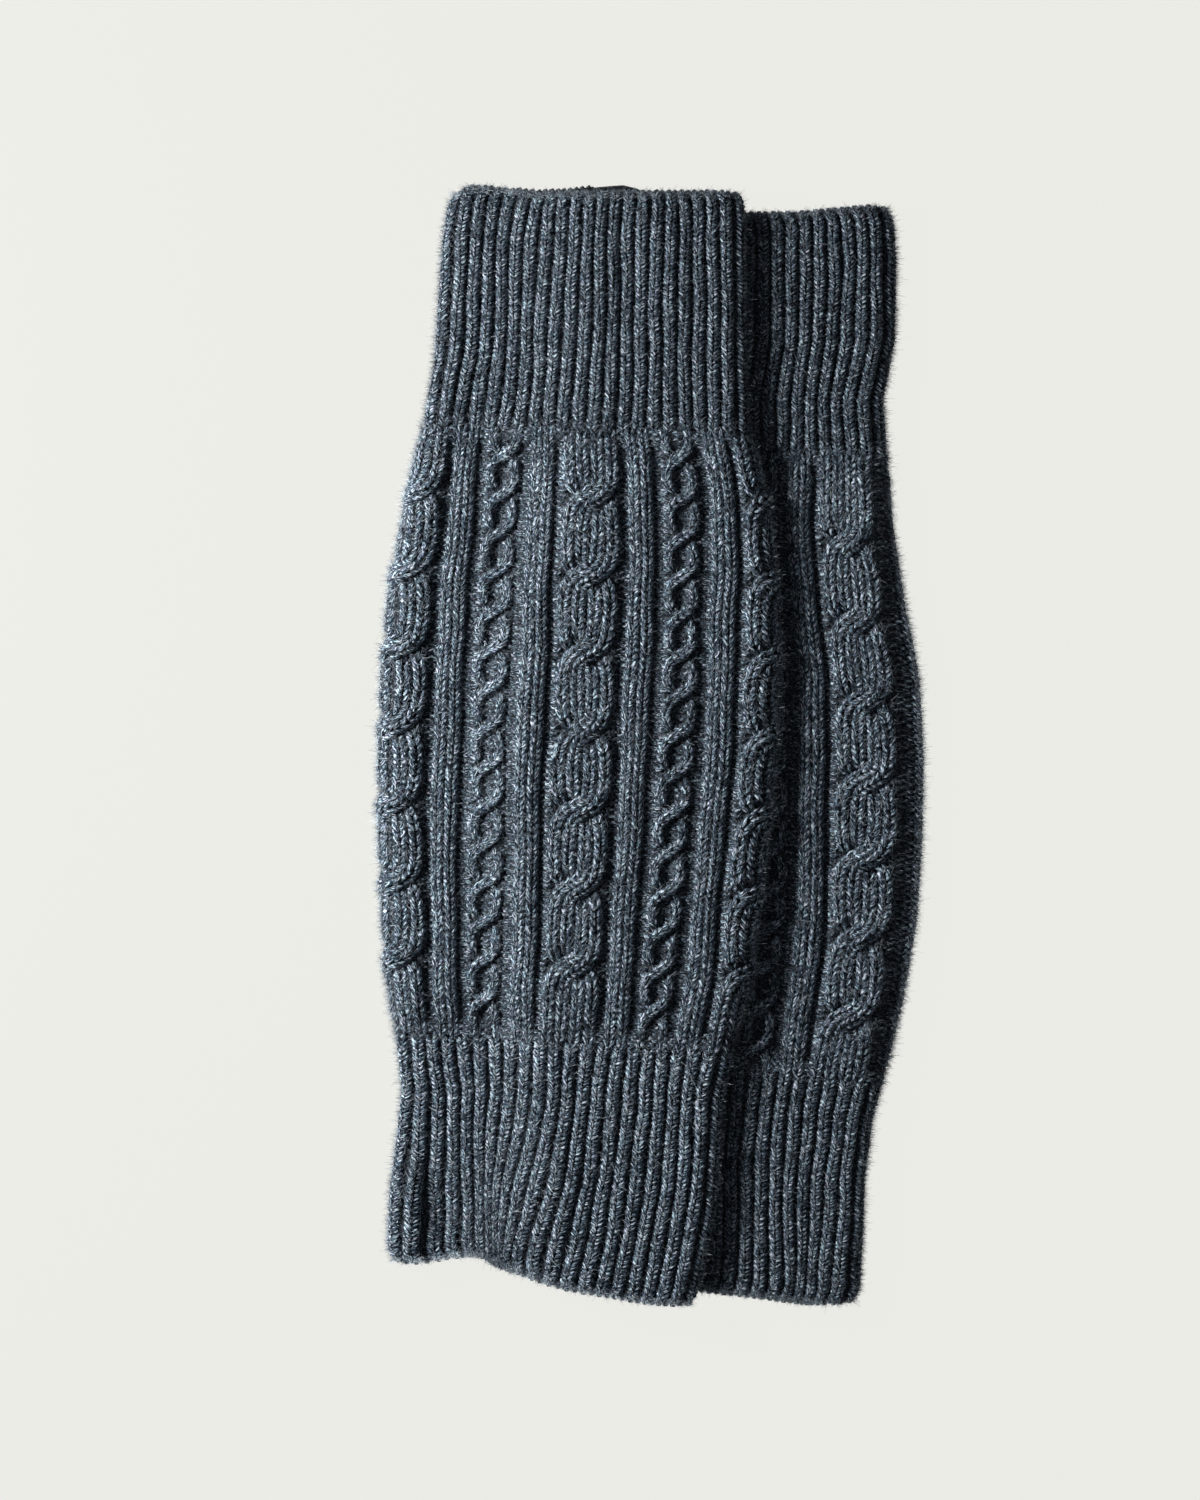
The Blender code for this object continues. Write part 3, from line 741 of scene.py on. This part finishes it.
class Mesh:
    """Points and quads of one piece with its yarn coordinates, while it is put together."""

    def __init__(self):
        self.points, self.quads, self.yarn, self.tone = [], [], [], []
        self.count = 0

    def add(self, points, quads, tone, yarn=None):
        """Adds points, the quads between them, and a tone and yarn coordinates for each point."""
        points = points.reshape(-1, 3)
        self.points.append(points)
        self.quads.append(np.asarray(quads).reshape(-1, 4) + self.count)
        self.tone.append(np.broadcast_to(tone, len(points)))
        self.yarn.append(np.zeros_like(points) if yarn is None else yarn.reshape(-1, 3))
        self.count += len(points)

    def make(self, name, material):
        points = np.concatenate(self.points)
        points[:, 2] = np.maximum(points[:, 2], LOWEST)
        quads = np.concatenate(self.quads)
        mesh = bpy.data.meshes.new(name)
        mesh.vertices.add(len(points))
        mesh.vertices.foreach_set("co", points.astype(np.float32).ravel())
        mesh.loops.add(quads.size)
        mesh.loops.foreach_set("vertex_index", quads.astype(np.int32).ravel())
        mesh.polygons.add(len(quads))
        mesh.polygons.foreach_set("loop_start", np.arange(0, quads.size, 4, dtype=np.int32))
        mesh.polygons.foreach_set("use_smooth", np.ones(len(quads), bool))
        yarn = mesh.attributes.new("yarn", "FLOAT_VECTOR", "POINT")
        yarn.data.foreach_set("vector", np.concatenate(self.yarn).astype(np.float32).ravel())
        tone = mesh.attributes.new("tone", "FLOAT", "POINT")
        tone.data.foreach_set("value", np.concatenate(self.tone).astype(np.float32))
        mesh.materials.append(material)
        mesh.update(calc_edges=True)
        obj = bpy.data.objects.new(name, mesh)
        bpy.context.scene.collection.objects.link(obj)
        return obj


def grid_quads(rows, columns, closed=False):
    """The quads of a grid of points, turned round so that they face out of a tube."""
    numbers = np.arange(rows * columns).reshape(rows, columns)
    if closed:
        numbers = np.concatenate([numbers, numbers[:, :1]], axis=1)
    a, b = numbers[:-1, :-1], numbers[:-1, 1:]
    c, d = numbers[1:, 1:], numbers[1:, :-1]
    return np.stack([a, d, c, b], axis=-1).reshape(-1, 4)


def sweep(mesh, points, normals, half_width, height, angles, seeds, tone):
    """Adds strands: half-round sweeps along rows of stations, their round side towards the normals."""
    tangents = unit(np.gradient(points, axis=1))
    across = unit(np.cross(tangents, normals))
    up = np.cross(across, tangents)
    cos, sin = np.cos(angles), np.sin(angles)
    ring = (
        points[:, :, None, :]
        + across[:, :, None, :] * (half_width[..., None] * cos)[..., None]
        + up[:, :, None, :] * (height[..., None] * sin)[..., None]
    )
    count, stations, around = ring.shape[:3]
    steps = np.linalg.norm(np.diff(points, axis=1), axis=-1)
    run = np.concatenate([np.zeros((count, 1)), np.cumsum(steps, axis=1)], axis=1) / MM
    yarn = np.empty(ring.shape)
    yarn[..., 0] = run[..., None]
    yarn[..., 1] = half_width[..., None] / MM * angles
    yarn[..., 2] = (seeds * YARN_SEEDS)[:, None, None]
    quads = grid_quads(stations, around)
    quads = quads[None] + (np.arange(count) * stations * around)[:, None, None]
    mesh.add(ring, quads, np.repeat(tone, stations * around), yarn)


def recess_shade(piece, share, down):
    """Painted shade: the yarn dimmed low in the ground, where the relief shades it, whole near the top."""
    depth = piece.height(share, down) / piece.highest
    return RECESS_SHADE_TONE + (1.0 - RECESS_SHADE_TONE) * smooth(depth / UNSHADED_DEPTH)


def uneven_tone(seeds):
    """How much brighter or darker each stitch is than its neighbours."""
    return TONE_SPREAD * (np.mod(seeds * TONE_SEEDS, 1.0) - 0.5)


def lay(mesh, piece, share, down, lift, half_width, height, angles, seeds):
    """Lays strands on a piece's raised surface, tilted with it."""
    points = piece.cloth(share, down, lift)
    middle = share.shape[1] // 2
    middle_share, middle_down = share[:, middle], down[:, middle]
    normals = piece.normal(middle_share, middle_down, STITCH_REACH)[:, None, :]
    # Each stitch's random brightness times painted shade, low in the ground and per piece
    tone = (recess_shade(piece, middle_share, middle_down) + uneven_tone(seeds)) * piece.tone
    sweep(mesh, points, np.broadcast_to(normals, points.shape), half_width, height, angles, seeds, tone)


def by_side(kind):
    """The stitches that show and those underneath, each with its half stitch, round and height."""
    kinds = ((2, KNIT_HALF, FINE_ROUND, 1.0), (1, KNIT_HALF_UNDER, COARSE_ROUND, UNDER_HEIGHT))
    for wanted, half_stitch, angles, flat in kinds:
        if (kind == wanted).any():
            yield kind == wanted, half_stitch, angles, flat


def knit_stitches(mesh, piece, chart, run, offset, wale, rng):
    """Lays both halves of knit stitches along a strand.

    chart(run, offset) gives the share of the round and of the length at a distance along the strand
    and an offset to its right. run and offset say where each stitch is.
    """
    side = np.repeat([-1.0, 1.0], len(run))
    run = np.tile(run, 2) + rng.normal(0.0, ROW_JITTER, 2 * len(run)) * piece.row
    seeds = rng.random(len(run))
    rows, inner, outer, half_width, height = piece.knit
    for chosen, half_stitch, angles, flat in by_side(piece.side(*chart(run, np.full(len(run), offset)))):
        at, reach, width, rise, lift = np.array(half_stitch).T
        size = 1.0 + rng.normal(0.0, SIZE_JITTER, (chosen.sum(), 1))
        reach = inner + (outer - inner) * reach
        run_at = run[chosen, None] + (at - 0.5) * rows * piece.row
        share_at, down_at = chart(run_at, offset + side[chosen, None] * reach * wale)
        widths, heights = half_width * width * size, height * rise * size * flat
        sunk = lift * MM - KNIT_SINK * height
        lay(mesh, piece, share_at, down_at, sunk, widths, heights, angles, seeds[chosen])


def cuff_stitches(mesh, piece, rng):
    """The single ribs of a cuff, one knit wale to a rib."""
    rows = (np.arange(piece.rows) + 0.5) * piece.length / piece.rows
    for rib in (np.arange(CUFF_RIBS) + 0.5) / CUFF_RIBS:
        phase = rng.random(3) * 2.0 * np.pi

        def chart(run, offset, rib=rib, phase=phase):
            waves = [size * np.sin(run / wave + start) for (size, wave), start in zip(RIB_SWAY, phase)]
            return np.mod(rib + (offset + sum(waves)) / CUFF_ROUND, 1.0), 1.0 - run / piece.length

        knit_stitches(mesh, piece, chart, rows, 0.0, CUFF_WALE, rng)


def strand_line(piece, cable_kind, half, runs_over):
    """The line of one strand of a cable, in metres from its middle and below the seam.

    runs_over says whether it passes over at the crossings of even number or at the others.
    """
    pitch = CROSSING_PITCH / cable_kind["per_pitch"]
    first = 1 - cable_kind["per_pitch"] * CROSSINGS
    top = piece.leg.first_crossing
    turn = cable_kind["turn"]
    along = np.linspace(top / pitch, (top - piece.length) / pitch, STRAND_POINTS)[::-1]
    crossing = np.clip(np.round(along), first, cable_kind["last"])
    phase = along - crossing
    over = np.mod(crossing, 2) == (0 if runs_over else 1)
    bow = cable_kind["bow"] * np.sin(np.pi * np.clip(np.abs(phase), 0.0, 0.5)) ** 2
    across = (cable_kind["reach"] + bow) * np.where(over, 1.0, -1.0) * np.tanh(phase / turn) * half
    distance = top - along * pitch
    run = np.concatenate([[0.0], np.cumsum(np.hypot(np.diff(across), np.diff(distance)))])
    slope_x = np.gradient(across, run)
    slope_y = -np.gradient(distance, run)
    squeeze = cable_kind["squeeze"] * np.exp(-((phase / (SQUEEZE_REACH * turn)) ** 2))
    under = np.where(over, 0.0, np.exp(-((phase / turn) ** 2)))
    return run, across, distance, slope_x, slope_y, squeeze, under


def strand_stitches(mesh, piece, start, cable_kind, runs_over, rng):
    """The knit wales of one strand of a cable, but for the stitches that another strand hides."""
    half = cable_kind["half"] * LEG_ROUND
    run_at, *values = strand_line(piece, cable_kind, half, runs_over)

    def chart(run, offset):
        across, distance, slope_x, slope_y, squeeze = [np.interp(run, run_at, v) for v in values[:5]]
        narrowed = offset * (1.0 - squeeze)
        distance = distance + narrowed * slope_x
        place = start + cable_kind["at"] + (across + narrowed * slope_y) / LEG_ROUND
        return share_of(piece.leg, place, distance), distance / piece.length

    step = LEG_ROW * CABLE_ROW_STRETCH
    rows = np.arange(0.5, run_at[-1] / step) * step
    rows = rows[np.interp(rows, run_at, values[5]) < cable_kind["hidden"]]
    for wale in cable_kind["wales"]:
        knit_stitches(mesh, piece, chart, rows, wale * half, cable_kind["wale"] * half, rng)


def leg_stitches(mesh, piece, rng):
    """The cabled leg: big cables, rib columns, small cables and the purl ground between them."""
    rows = (np.arange(piece.rows) + 0.5) * piece.length / piece.rows
    for start in np.arange(4) * PATTERN_REPEAT:
        for runs_over in (True, False):
            for cable_kind in CABLES:
                strand_stitches(mesh, piece, start, cable_kind, runs_over, rng)
        for place in (-RIB_COLUMN_AT, RIB_COLUMN_AT):
            for wale in (-0.5, 0.5):

                def chart(run, offset, centre=start + place + wale * RIB_COLUMN_HALF):
                    distance = piece.length - run
                    place_at = share_of(piece.leg, centre + offset / LEG_ROUND, distance)
                    return place_at, distance / piece.length

                knit_stitches(mesh, piece, chart, rows, 0.0, RIB_COLUMN_HALF * LEG_ROUND, rng)
        for place in (*PURL_COLUMNS, *(-place for place in PURL_COLUMNS)):
            purl_stitches(mesh, piece, start + place, PURL_LIFT, rng)
        purl_stitches(mesh, piece, start + SMALL_CABLE_AT, HOLE_PURL_LIFT, rng)


def purl_stitches(mesh, piece, centre, raised, rng):
    """One column of the purl ground: a head and a foot to each row."""
    at, bend, width, rise, lift = np.array(PURL_ARC).T
    for shift, way in ((0.0, 1.0), (0.5, -1.0)):
        rows = np.arange(piece.rows) + 0.5 * shift + rng.normal(0.0, PURL_ROW_JITTER, piece.rows)
        centres = centre + (shift + rng.normal(0.0, PURL_JITTER, piece.rows)) * PURL_WIDTH / LEG_ROUND
        down = (rows + 0.5) / piece.rows
        share = share_of(piece.leg, centres, down * piece.length)
        for chosen, _, angles, _ in by_side(piece.side(share, down)):
            down_at = down[chosen, None] - way * PURL_RISE * (bend - 0.5) / piece.rows
            place_at = centres[chosen, None] + (at - 0.5) * PURL_WIDTH / LEG_ROUND
            share_at = share_of(piece.leg, place_at, down_at * piece.length)
            each = np.ones((chosen.sum(), 1))
            widths, heights = PURL_HALF_WIDTH * width * each, PURL_HEIGHT * rise * each
            seeds = rng.random(chosen.sum())
            lay(mesh, piece, share_at, down_at, lift * MM + raised, widths, heights, angles, seeds)


def edge_stitches(mesh, piece, rng):
    """The bound-off edge of a cuff: a slanting loop over the rim for each wale and each groove."""
    count = 2 * CUFF_RIBS
    end, inwards = (0.0, 1.0) if piece.upper == 1 else (1.0, -1.0)
    places = (np.arange(count) + rng.normal(0.0, LOOP_JITTER, count)) / count
    kind = piece.side(places, np.full(count, end))
    from_fold = np.abs(np.mod(places + 0.25, 0.5) - 0.25)
    places = places[(kind > 0) & (from_fold > LOOP_FROM_FOLD)]
    in_from_edge, lift, width, outwards, onwards = np.array(EDGE_LOOP).T
    size = 1.0 + rng.normal(0.0, LOOP_SIZE_JITTER, (len(places), 1))
    share = places[:, None] + EDGE_LOOP_SLANT * np.linspace(-0.5, 0.5, len(EDGE_LOOP)) / count
    down = end + inwards * in_from_edge * MM / piece.length + np.zeros_like(share)
    points = piece.cloth(share, down, lift * MM)
    at_edge = np.full_like(places, end)
    onward = unit(piece.plain(places, at_edge - inwards * STEP_DOWN) - piece.plain(places, at_edge))
    outward = piece.normal(places, at_edge, LOOP_REACH)
    normals = outward[:, None] * outwards[:, None] + onward[:, None] * onwards[:, None]
    seeds = rng.random(len(places))
    # The edge loops take the piece's painted shade
    tone = (EDGE_LOOP_TONE + uneven_tone(seeds)) * piece.tone
    widths, heights = EDGE_LOOP_HALF_WIDTH * width * size, EDGE_LOOP_HEIGHT * width * size
    sweep(mesh, points, normals, widths, heights, FINE_ROUND, seeds, tone)


def base_columns(piece):
    """Shares of the round for the wall: close where it shows, wide where nothing shows it."""
    columns = [0.0]
    fine = 1.0 / CUFF_RIBS / STEPS_PER_RIB if piece.is_cuff else BASE_STEP / piece.round
    while columns[-1] < 1.0 - fine:
        shown = piece.side(np.array(columns[-1:]), np.array([0.5]))[0] == 2
        from_fold = np.mod(columns[-1], 0.5)
        near_fold = min(from_fold, 0.5 - from_fold) < NEAR_FOLD
        columns.append(columns[-1] + (fine if shown or near_fold else COVERED_STEP / piece.round))
    return columns[:-1]


def make_wall(piece, material):
    """The closed wall that carries the stitches."""
    mesh = Mesh()
    columns = base_columns(piece)
    steps = CUFF_STEPS if piece.is_cuff else int(piece.length / BASE_STEP_ALONG)
    share, down = np.meshgrid(columns, np.linspace(0.0, 1.0, steps + 1))
    outer = piece.cloth(share, down, -BASE_SINK)
    # The wall takes the piece's painted shade as its tone
    mesh.add(outer, grid_quads(*share.shape, closed=True), piece.tone, outer / MM)
    share, down = np.meshgrid(columns, np.linspace(1.0, 0.0, INNER_ROWS))
    inner = piece.plain(share, down, -WALL)
    mesh.add(inner, grid_quads(*share.shape, closed=True), piece.tone, inner / MM)
    ring = np.arange(len(columns))
    outer_bottom, inner_bottom = steps * len(columns) + ring, (steps + 1) * len(columns) + ring
    inner_top = inner_bottom + (INNER_ROWS - 1) * len(columns)
    for one, other in ((outer_bottom, inner_bottom), (inner_top, ring)):
        mesh.quads.append(np.stack([one, other, np.roll(other, -1), np.roll(one, -1)], axis=-1))
    return mesh.make(f"{piece.node}_cloth", material)


def make_stitches(piece, material, seed):
    """All the stitches of a piece, joined in one mesh."""
    mesh = Mesh()
    rng = np.random.default_rng(seed)
    if piece.is_cuff:
        cuff_stitches(mesh, piece, rng)
        edge_stitches(mesh, piece, rng)
    else:
        leg_stitches(mesh, piece, rng)
    return mesh.make(f"{piece.node}_stitches", material)


def add_strips(mesh, stations, tone):
    """Adds thin strips through stations of a centre and half the width."""
    points = np.stack([at + way * half for at, half in stations for way in (-1.0, 1.0)], axis=1)
    quads = 2 * np.arange(len(stations) - 1)[:, None] + (0, 1, 3, 2)
    quads = quads[None] + (np.arange(len(tone)) * points.shape[1])[:, None, None]
    mesh.add(points, quads, np.repeat(tone, points.shape[1]))


def short_fibres(mesh, piece, share, down, heading, kind, rng):
    """Single short fibres, each a thin tapered strip. heading is an angle from the wales and a spread."""
    share, down = shown_places(piece, share, down)
    count = len(share)
    root, normal, along, across = frames(piece, share, down)
    mean, least, most, thin, thick, dark, bright = kind
    angle = rng.normal(*heading, count)[:, None]
    way = along * np.cos(angle) + across * np.sin(angle)
    length = rng.gamma(FIBRE_LENGTHS, mean / FIBRE_LENGTHS, (count, 1)) * MM
    start = root + normal * rng.uniform(*FIBRE_FOOT, (count, 1)) * MM
    tip = start + unit(way + normal * rng.uniform(least, most, (count, 1))) * length
    half = np.cross(way, normal) * rng.uniform(thin, thick, (count, 1)) * MM
    # Painted shade on fibres low in the ground and per piece
    tone = rng.uniform(dark, bright, count) * piece.tone * recess_shade(piece, share, down)
    add_strips(mesh, ((start, half), (tip, FIBRE_TIP * half)), tone)


def long_fibres(mesh, piece, share, down, rng):
    """Longer fibres that stand off the knitting and bend over."""
    share, down = shown_places(piece, share, down)
    count = len(share)
    root, normal, along, across = frames(piece, share, down)
    angle = rng.uniform(0.0, 2.0 * np.pi, (count, 1))
    heading = along * np.cos(angle) + across * np.sin(angle)
    sideways = np.cross(heading, normal)
    length = rng.gamma(*LONG_LENGTHS, (count, 1)) * MM
    rise = rng.uniform(*LONG_RISE, (count, 1))
    bend = rng.normal(0.0, LONG_BEND, (count, 1))
    start = root + normal * rng.uniform(*LONG_FOOT, (count, 1)) * MM
    middle, tip = (
        start + (heading * on + sideways * bend * aside + normal * rise * up) * length
        for on, aside, up in (LONG_MIDDLE, LONG_END)
    )
    half = sideways * rng.uniform(*LONG_HALF_WIDTH, (count, 1)) * MM
    # Painted shade on fibres low in the ground and per piece
    tone = rng.random(count) * recess_shade(piece, share, down) * piece.tone
    add_strips(mesh, ((start, half), (middle, half), (tip, LONG_TIP * half)), tone)


def shown_places(piece, share, down):
    """The places that show."""
    share = np.mod(share, 1.0)
    kept = piece.side(share, down) == 2
    return share[kept], down[kept]


def frames(piece, share, down):
    """The raised surface's points, and its directions outwards, up the leg and across."""
    root = piece.cloth(share, down)
    normal = piece.normal(share, down, FIBRE_REACH)
    along = piece.plain(share, down - STEP_DOWN) - piece.plain(share, down)
    along = unit(along - normal * (along * normal).sum(axis=1, keepdims=True))
    return root, normal, along, np.cross(along, normal)


def make_fibres(piece, material, seed):
    """The loose fibres of a piece: all over it, and a short dense fringe at its folds and open edge."""
    mesh = Mesh()
    rng = np.random.default_rng(seed)
    counts = FIBRES["cuff" if piece.is_cuff else "leg"]

    def anywhere(count):
        return rng.uniform(*TOP_LAYER, count), rng.uniform(0.0, 1.0, count)

    short_fibres(mesh, piece, *anywhere(counts["lying"]), LYING_WAY, LYING_FIBRE, rng)
    short_fibres(mesh, piece, *anywhere(counts["fuzz"]), ANY_WAY, FUZZ_FIBRE, rng)
    at_left = rng.random(counts["fold"]) < (LEFT_FRINGE if piece.leg.underneath else 0.0)
    in_from_fold = rng.uniform(*FOLD_FRINGE, counts["fold"])
    near_fold = np.where(at_left, in_from_fold, 0.5 - in_from_fold)
    down = rng.uniform(0.0, 1.0, counts["fold"])
    short_fibres(mesh, piece, near_fold, down, ANY_WAY, FRINGE_FIBRE, rng)
    long_fibres(mesh, piece, *anywhere(counts["long"]), rng)
    if counts["rim"]:
        from_edge = np.abs(rng.normal(0.0, RIM_REACH, counts["rim"])) - RIM_OVER
        down = from_edge if piece.upper == 1 else 1.0 - from_edge
        heading = (0.0 if piece.upper == 1 else np.pi, RIM_SPREAD)
        share = rng.uniform(RIM_FROM_FOLD, 0.5 - RIM_FROM_FOLD, counts["rim"])
        short_fibres(mesh, piece, share, down, heading, FRINGE_FIBRE, rng)
    return mesh.make(f"{piece.node}_fibres", material)


def set_inputs(shader, values):
    """Sets a shader's own sockets."""
    for name, value in values.items():
        shader.inputs[name].default_value = value


def new_material(name, surface):
    """A material with its node tree and its shader."""
    material = bpy.data.materials.new(name)
    material.use_nodes = True
    tree = material.node_tree
    set_inputs(tree.nodes["Principled BSDF"], surface)
    return material, tree, tree.nodes["Principled BSDF"]


def add_node(tree, kind, settings=None, **values):
    """A shader node with its settings, its input values, and links from other nodes' sockets."""
    node = tree.nodes.new(kind)
    for name, value in (settings or {}).items():
        setattr(node, name, value)
    for name, value in values.items():
        socket = node.inputs[int(name[1:]) if name[1:].isdigit() else name]
        if isinstance(value, bpy.types.NodeSocket):
            tree.links.new(value, socket)
        else:
            socket.default_value = value
    return node


def ramp_node(tree, factor, stops):
    """A colour ramp through stops of place and colour."""
    node = add_node(tree, "ShaderNodeValToRGB", Fac=factor)
    elements = node.color_ramp.elements
    while len(elements) < len(stops):
        elements.new(0.5)
    for element, (place, colour) in zip(elements, stops):
        element.position = place
        element.color = (*colour, 1.0)
    return node.outputs["Color"]


def math_node(tree, operation, *values):
    """The result of a Math node."""
    inputs = {f"i{number}": value for number, value in enumerate(values)}
    return add_node(tree, "ShaderNodeMath", {"operation": operation}, **inputs).outputs[0]


def noise_node(tree, place, scale, detail=FLECK_DETAIL):
    """Noise of a scale at a place."""
    return add_node(tree, "ShaderNodeTexNoise", Vector=place, Scale=scale, Detail=detail).outputs["Fac"]


def attribute_node(tree, name):
    """What a mesh attribute says."""
    return add_node(tree, "ShaderNodeAttribute", {"attribute_name": name}).outputs


def wool_material(name, stops, fleck, sheen, bump):
    """Marled wool: light and dark fibres that run along each strand of yarn, and a few across."""
    material, tree, shader = new_material(name, {**WOOL_SURFACE, "Sheen Weight": sheen})
    yarn = attribute_node(tree, "yarn")["Vector"]
    along = add_node(tree, "ShaderNodeMapping", i0=yarn, Scale=fleck).outputs[0]
    turn = {"Location": CROSSING_AT, "Rotation": (0.0, 0.0, CROSSING_TURN), "Scale": fleck}
    turned = add_node(tree, "ShaderNodeMapping", i0=yarn, **turn).outputs[0]
    crossed = math_node(tree, "MULTIPLY", noise_node(tree, turned, 1.0), CROSSING_SHARE)
    flecks = math_node(tree, "ADD", noise_node(tree, along, 1.0), crossed)
    flecks = math_node(tree, "SUBTRACT", flecks, 0.5 * CROSSING_SHARE)
    place = add_node(tree, "ShaderNodeTexCoord").outputs["Object"]
    mottle = noise_node(tree, place, MOTTLE_SCALE, MOTTLE_DETAIL)
    mottle = math_node(tree, "MULTIPLY_ADD", mottle, MOTTLE, -0.5 * MOTTLE)
    mixed = math_node(tree, "ADD", flecks, mottle)
    colour = ramp_node(tree, mixed, stops)
    tint = ramp_node(tree, noise_node(tree, place, TINT_SCALE), TINT_STOPS)
    tinted = add_node(tree, "ShaderNodeVectorMath", {"operation": "MULTIPLY"}, i0=colour, i1=tint)
    # tone brings each stitch's random brightness and its painted shade, low in the ground and per piece
    tone = attribute_node(tree, "tone")["Fac"]
    scaled = add_node(
        tree, "ShaderNodeVectorMath", {"operation": "SCALE"}, i0=tinted.outputs[0], Scale=tone
    )
    tree.links.new(scaled.outputs[0], shader.inputs["Base Color"])
    ridge = add_node(tree, "ShaderNodeBump", Strength=bump, Distance=FLECK_DEPTH, Height=mixed)
    tree.links.new(ridge.outputs[0], shader.inputs["Normal"])
    return material


def fibre_material():
    """Single pale wool fibres."""
    material, tree, shader = new_material("loose_fibres", FIBRE_SURFACE)
    colour = ramp_node(tree, attribute_node(tree, "tone")["Fac"], FIBRE_STOPS)
    tree.links.new(colour, shader.inputs["Base Color"])
    return material


def make_floor():
    """A plain pale floor."""
    mesh = bpy.data.meshes.new("floor")
    corners = [(x * FLOOR_HALF, y * FLOOR_HALF, 0.0) for x, y in ((-1, -1), (1, -1), (1, 1), (-1, 1))]
    mesh.from_pydata(corners, [], [(0, 1, 2, 3)])
    floor = bpy.data.objects.new("floor", mesh)
    floor.location.z = FLOOR_AT
    bpy.context.scene.collection.objects.link(floor)
    mesh.materials.append(new_material("pale_floor", FLOOR_SURFACE)[0])


def make_camera():
    """The camera, straight above."""
    data = bpy.data.cameras.new("camera")
    data.sensor_width = SENSOR
    data.lens = SENSOR * (CAMERA_HEIGHT - KNITTING_TOP) / FRAME_HEIGHT
    camera = bpy.data.objects.new("camera", data)
    camera.location = CAMERA_AT
    bpy.context.scene.collection.objects.link(camera)
    bpy.context.scene.camera = camera


def make_light():
    """The lamp and the fill."""
    lamp = bpy.data.lights.new("key", "AREA")
    lamp.shape = "DISK"
    lamp.size = LAMP_SIZE
    lamp.energy = LAMP_POWER
    lamp.color = LAMP_COLOUR
    key = bpy.data.objects.new("key", lamp)
    towards = Vector(LAMP_TOWARDS).normalized()
    key.location = towards * LAMP_DISTANCE
    key.rotation_euler = towards.to_track_quat("Z", "Y").to_euler()
    key.visible_camera = False
    bpy.context.scene.collection.objects.link(key)
    world = bpy.data.worlds.new("studio")
    bpy.context.scene.world = world
    world.use_nodes = True
    set_inputs(world.node_tree.nodes["Background"], {"Color": FILL_COLOUR, "Strength": FILL_STRENGTH})
    bpy.context.scene.view_settings.view_transform = "Standard"


def make_pair():
    """The two leg warmers, the front one lying over the back one."""
    back = LegWarmer(
        "back", BACK_OUTLINE, BACK_EDGES, BACK_CREASES, BACK_GATHERS, BACK_PATTERN_AT, BACK_FIRST_CROSSING
    )
    front = LegWarmer(
        "front", FRONT_OUTLINE, FRONT_EDGES, FRONT_CREASES, FRONT_GATHERS, FRONT_PATTERN_AT,
        FRONT_FIRST_CROSSING, FOLD_PUFF,
    )
    front.peek = np.array(FRONT_PEEK).T * MM
    front.underneath = back
    back.on_top = front
    back.fold_stretch = BACK_FOLD_STRETCH
    return front, back


def main():
    make_camera()
    make_light()
    make_floor()
    # The wall's wool is painted dark, as the shade between the stitches
    ground = wool_material("wool_ground_painted_shade", SHADED_GROUND_STOPS, GROUND_FLECK, *GROUND_LOOKS)
    yarn = wool_material("wool_yarn", YARN_STOPS, YARN_FLECK, *YARN_LOOKS)
    hair = fibre_material()
    pieces = [Piece(leg, *piece) for leg in make_pair() for piece in PIECES]
    for seed, piece in enumerate(pieces, start=1):
        wall = make_wall(piece, ground)
        stitches = make_stitches(piece, yarn, seed)
        fibres = make_fibres(piece, hair, FIBRE_SEEDS + seed)
        for part in (wall, stitches, fibres):
            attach(part, "root")
        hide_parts(piece.node)


main()
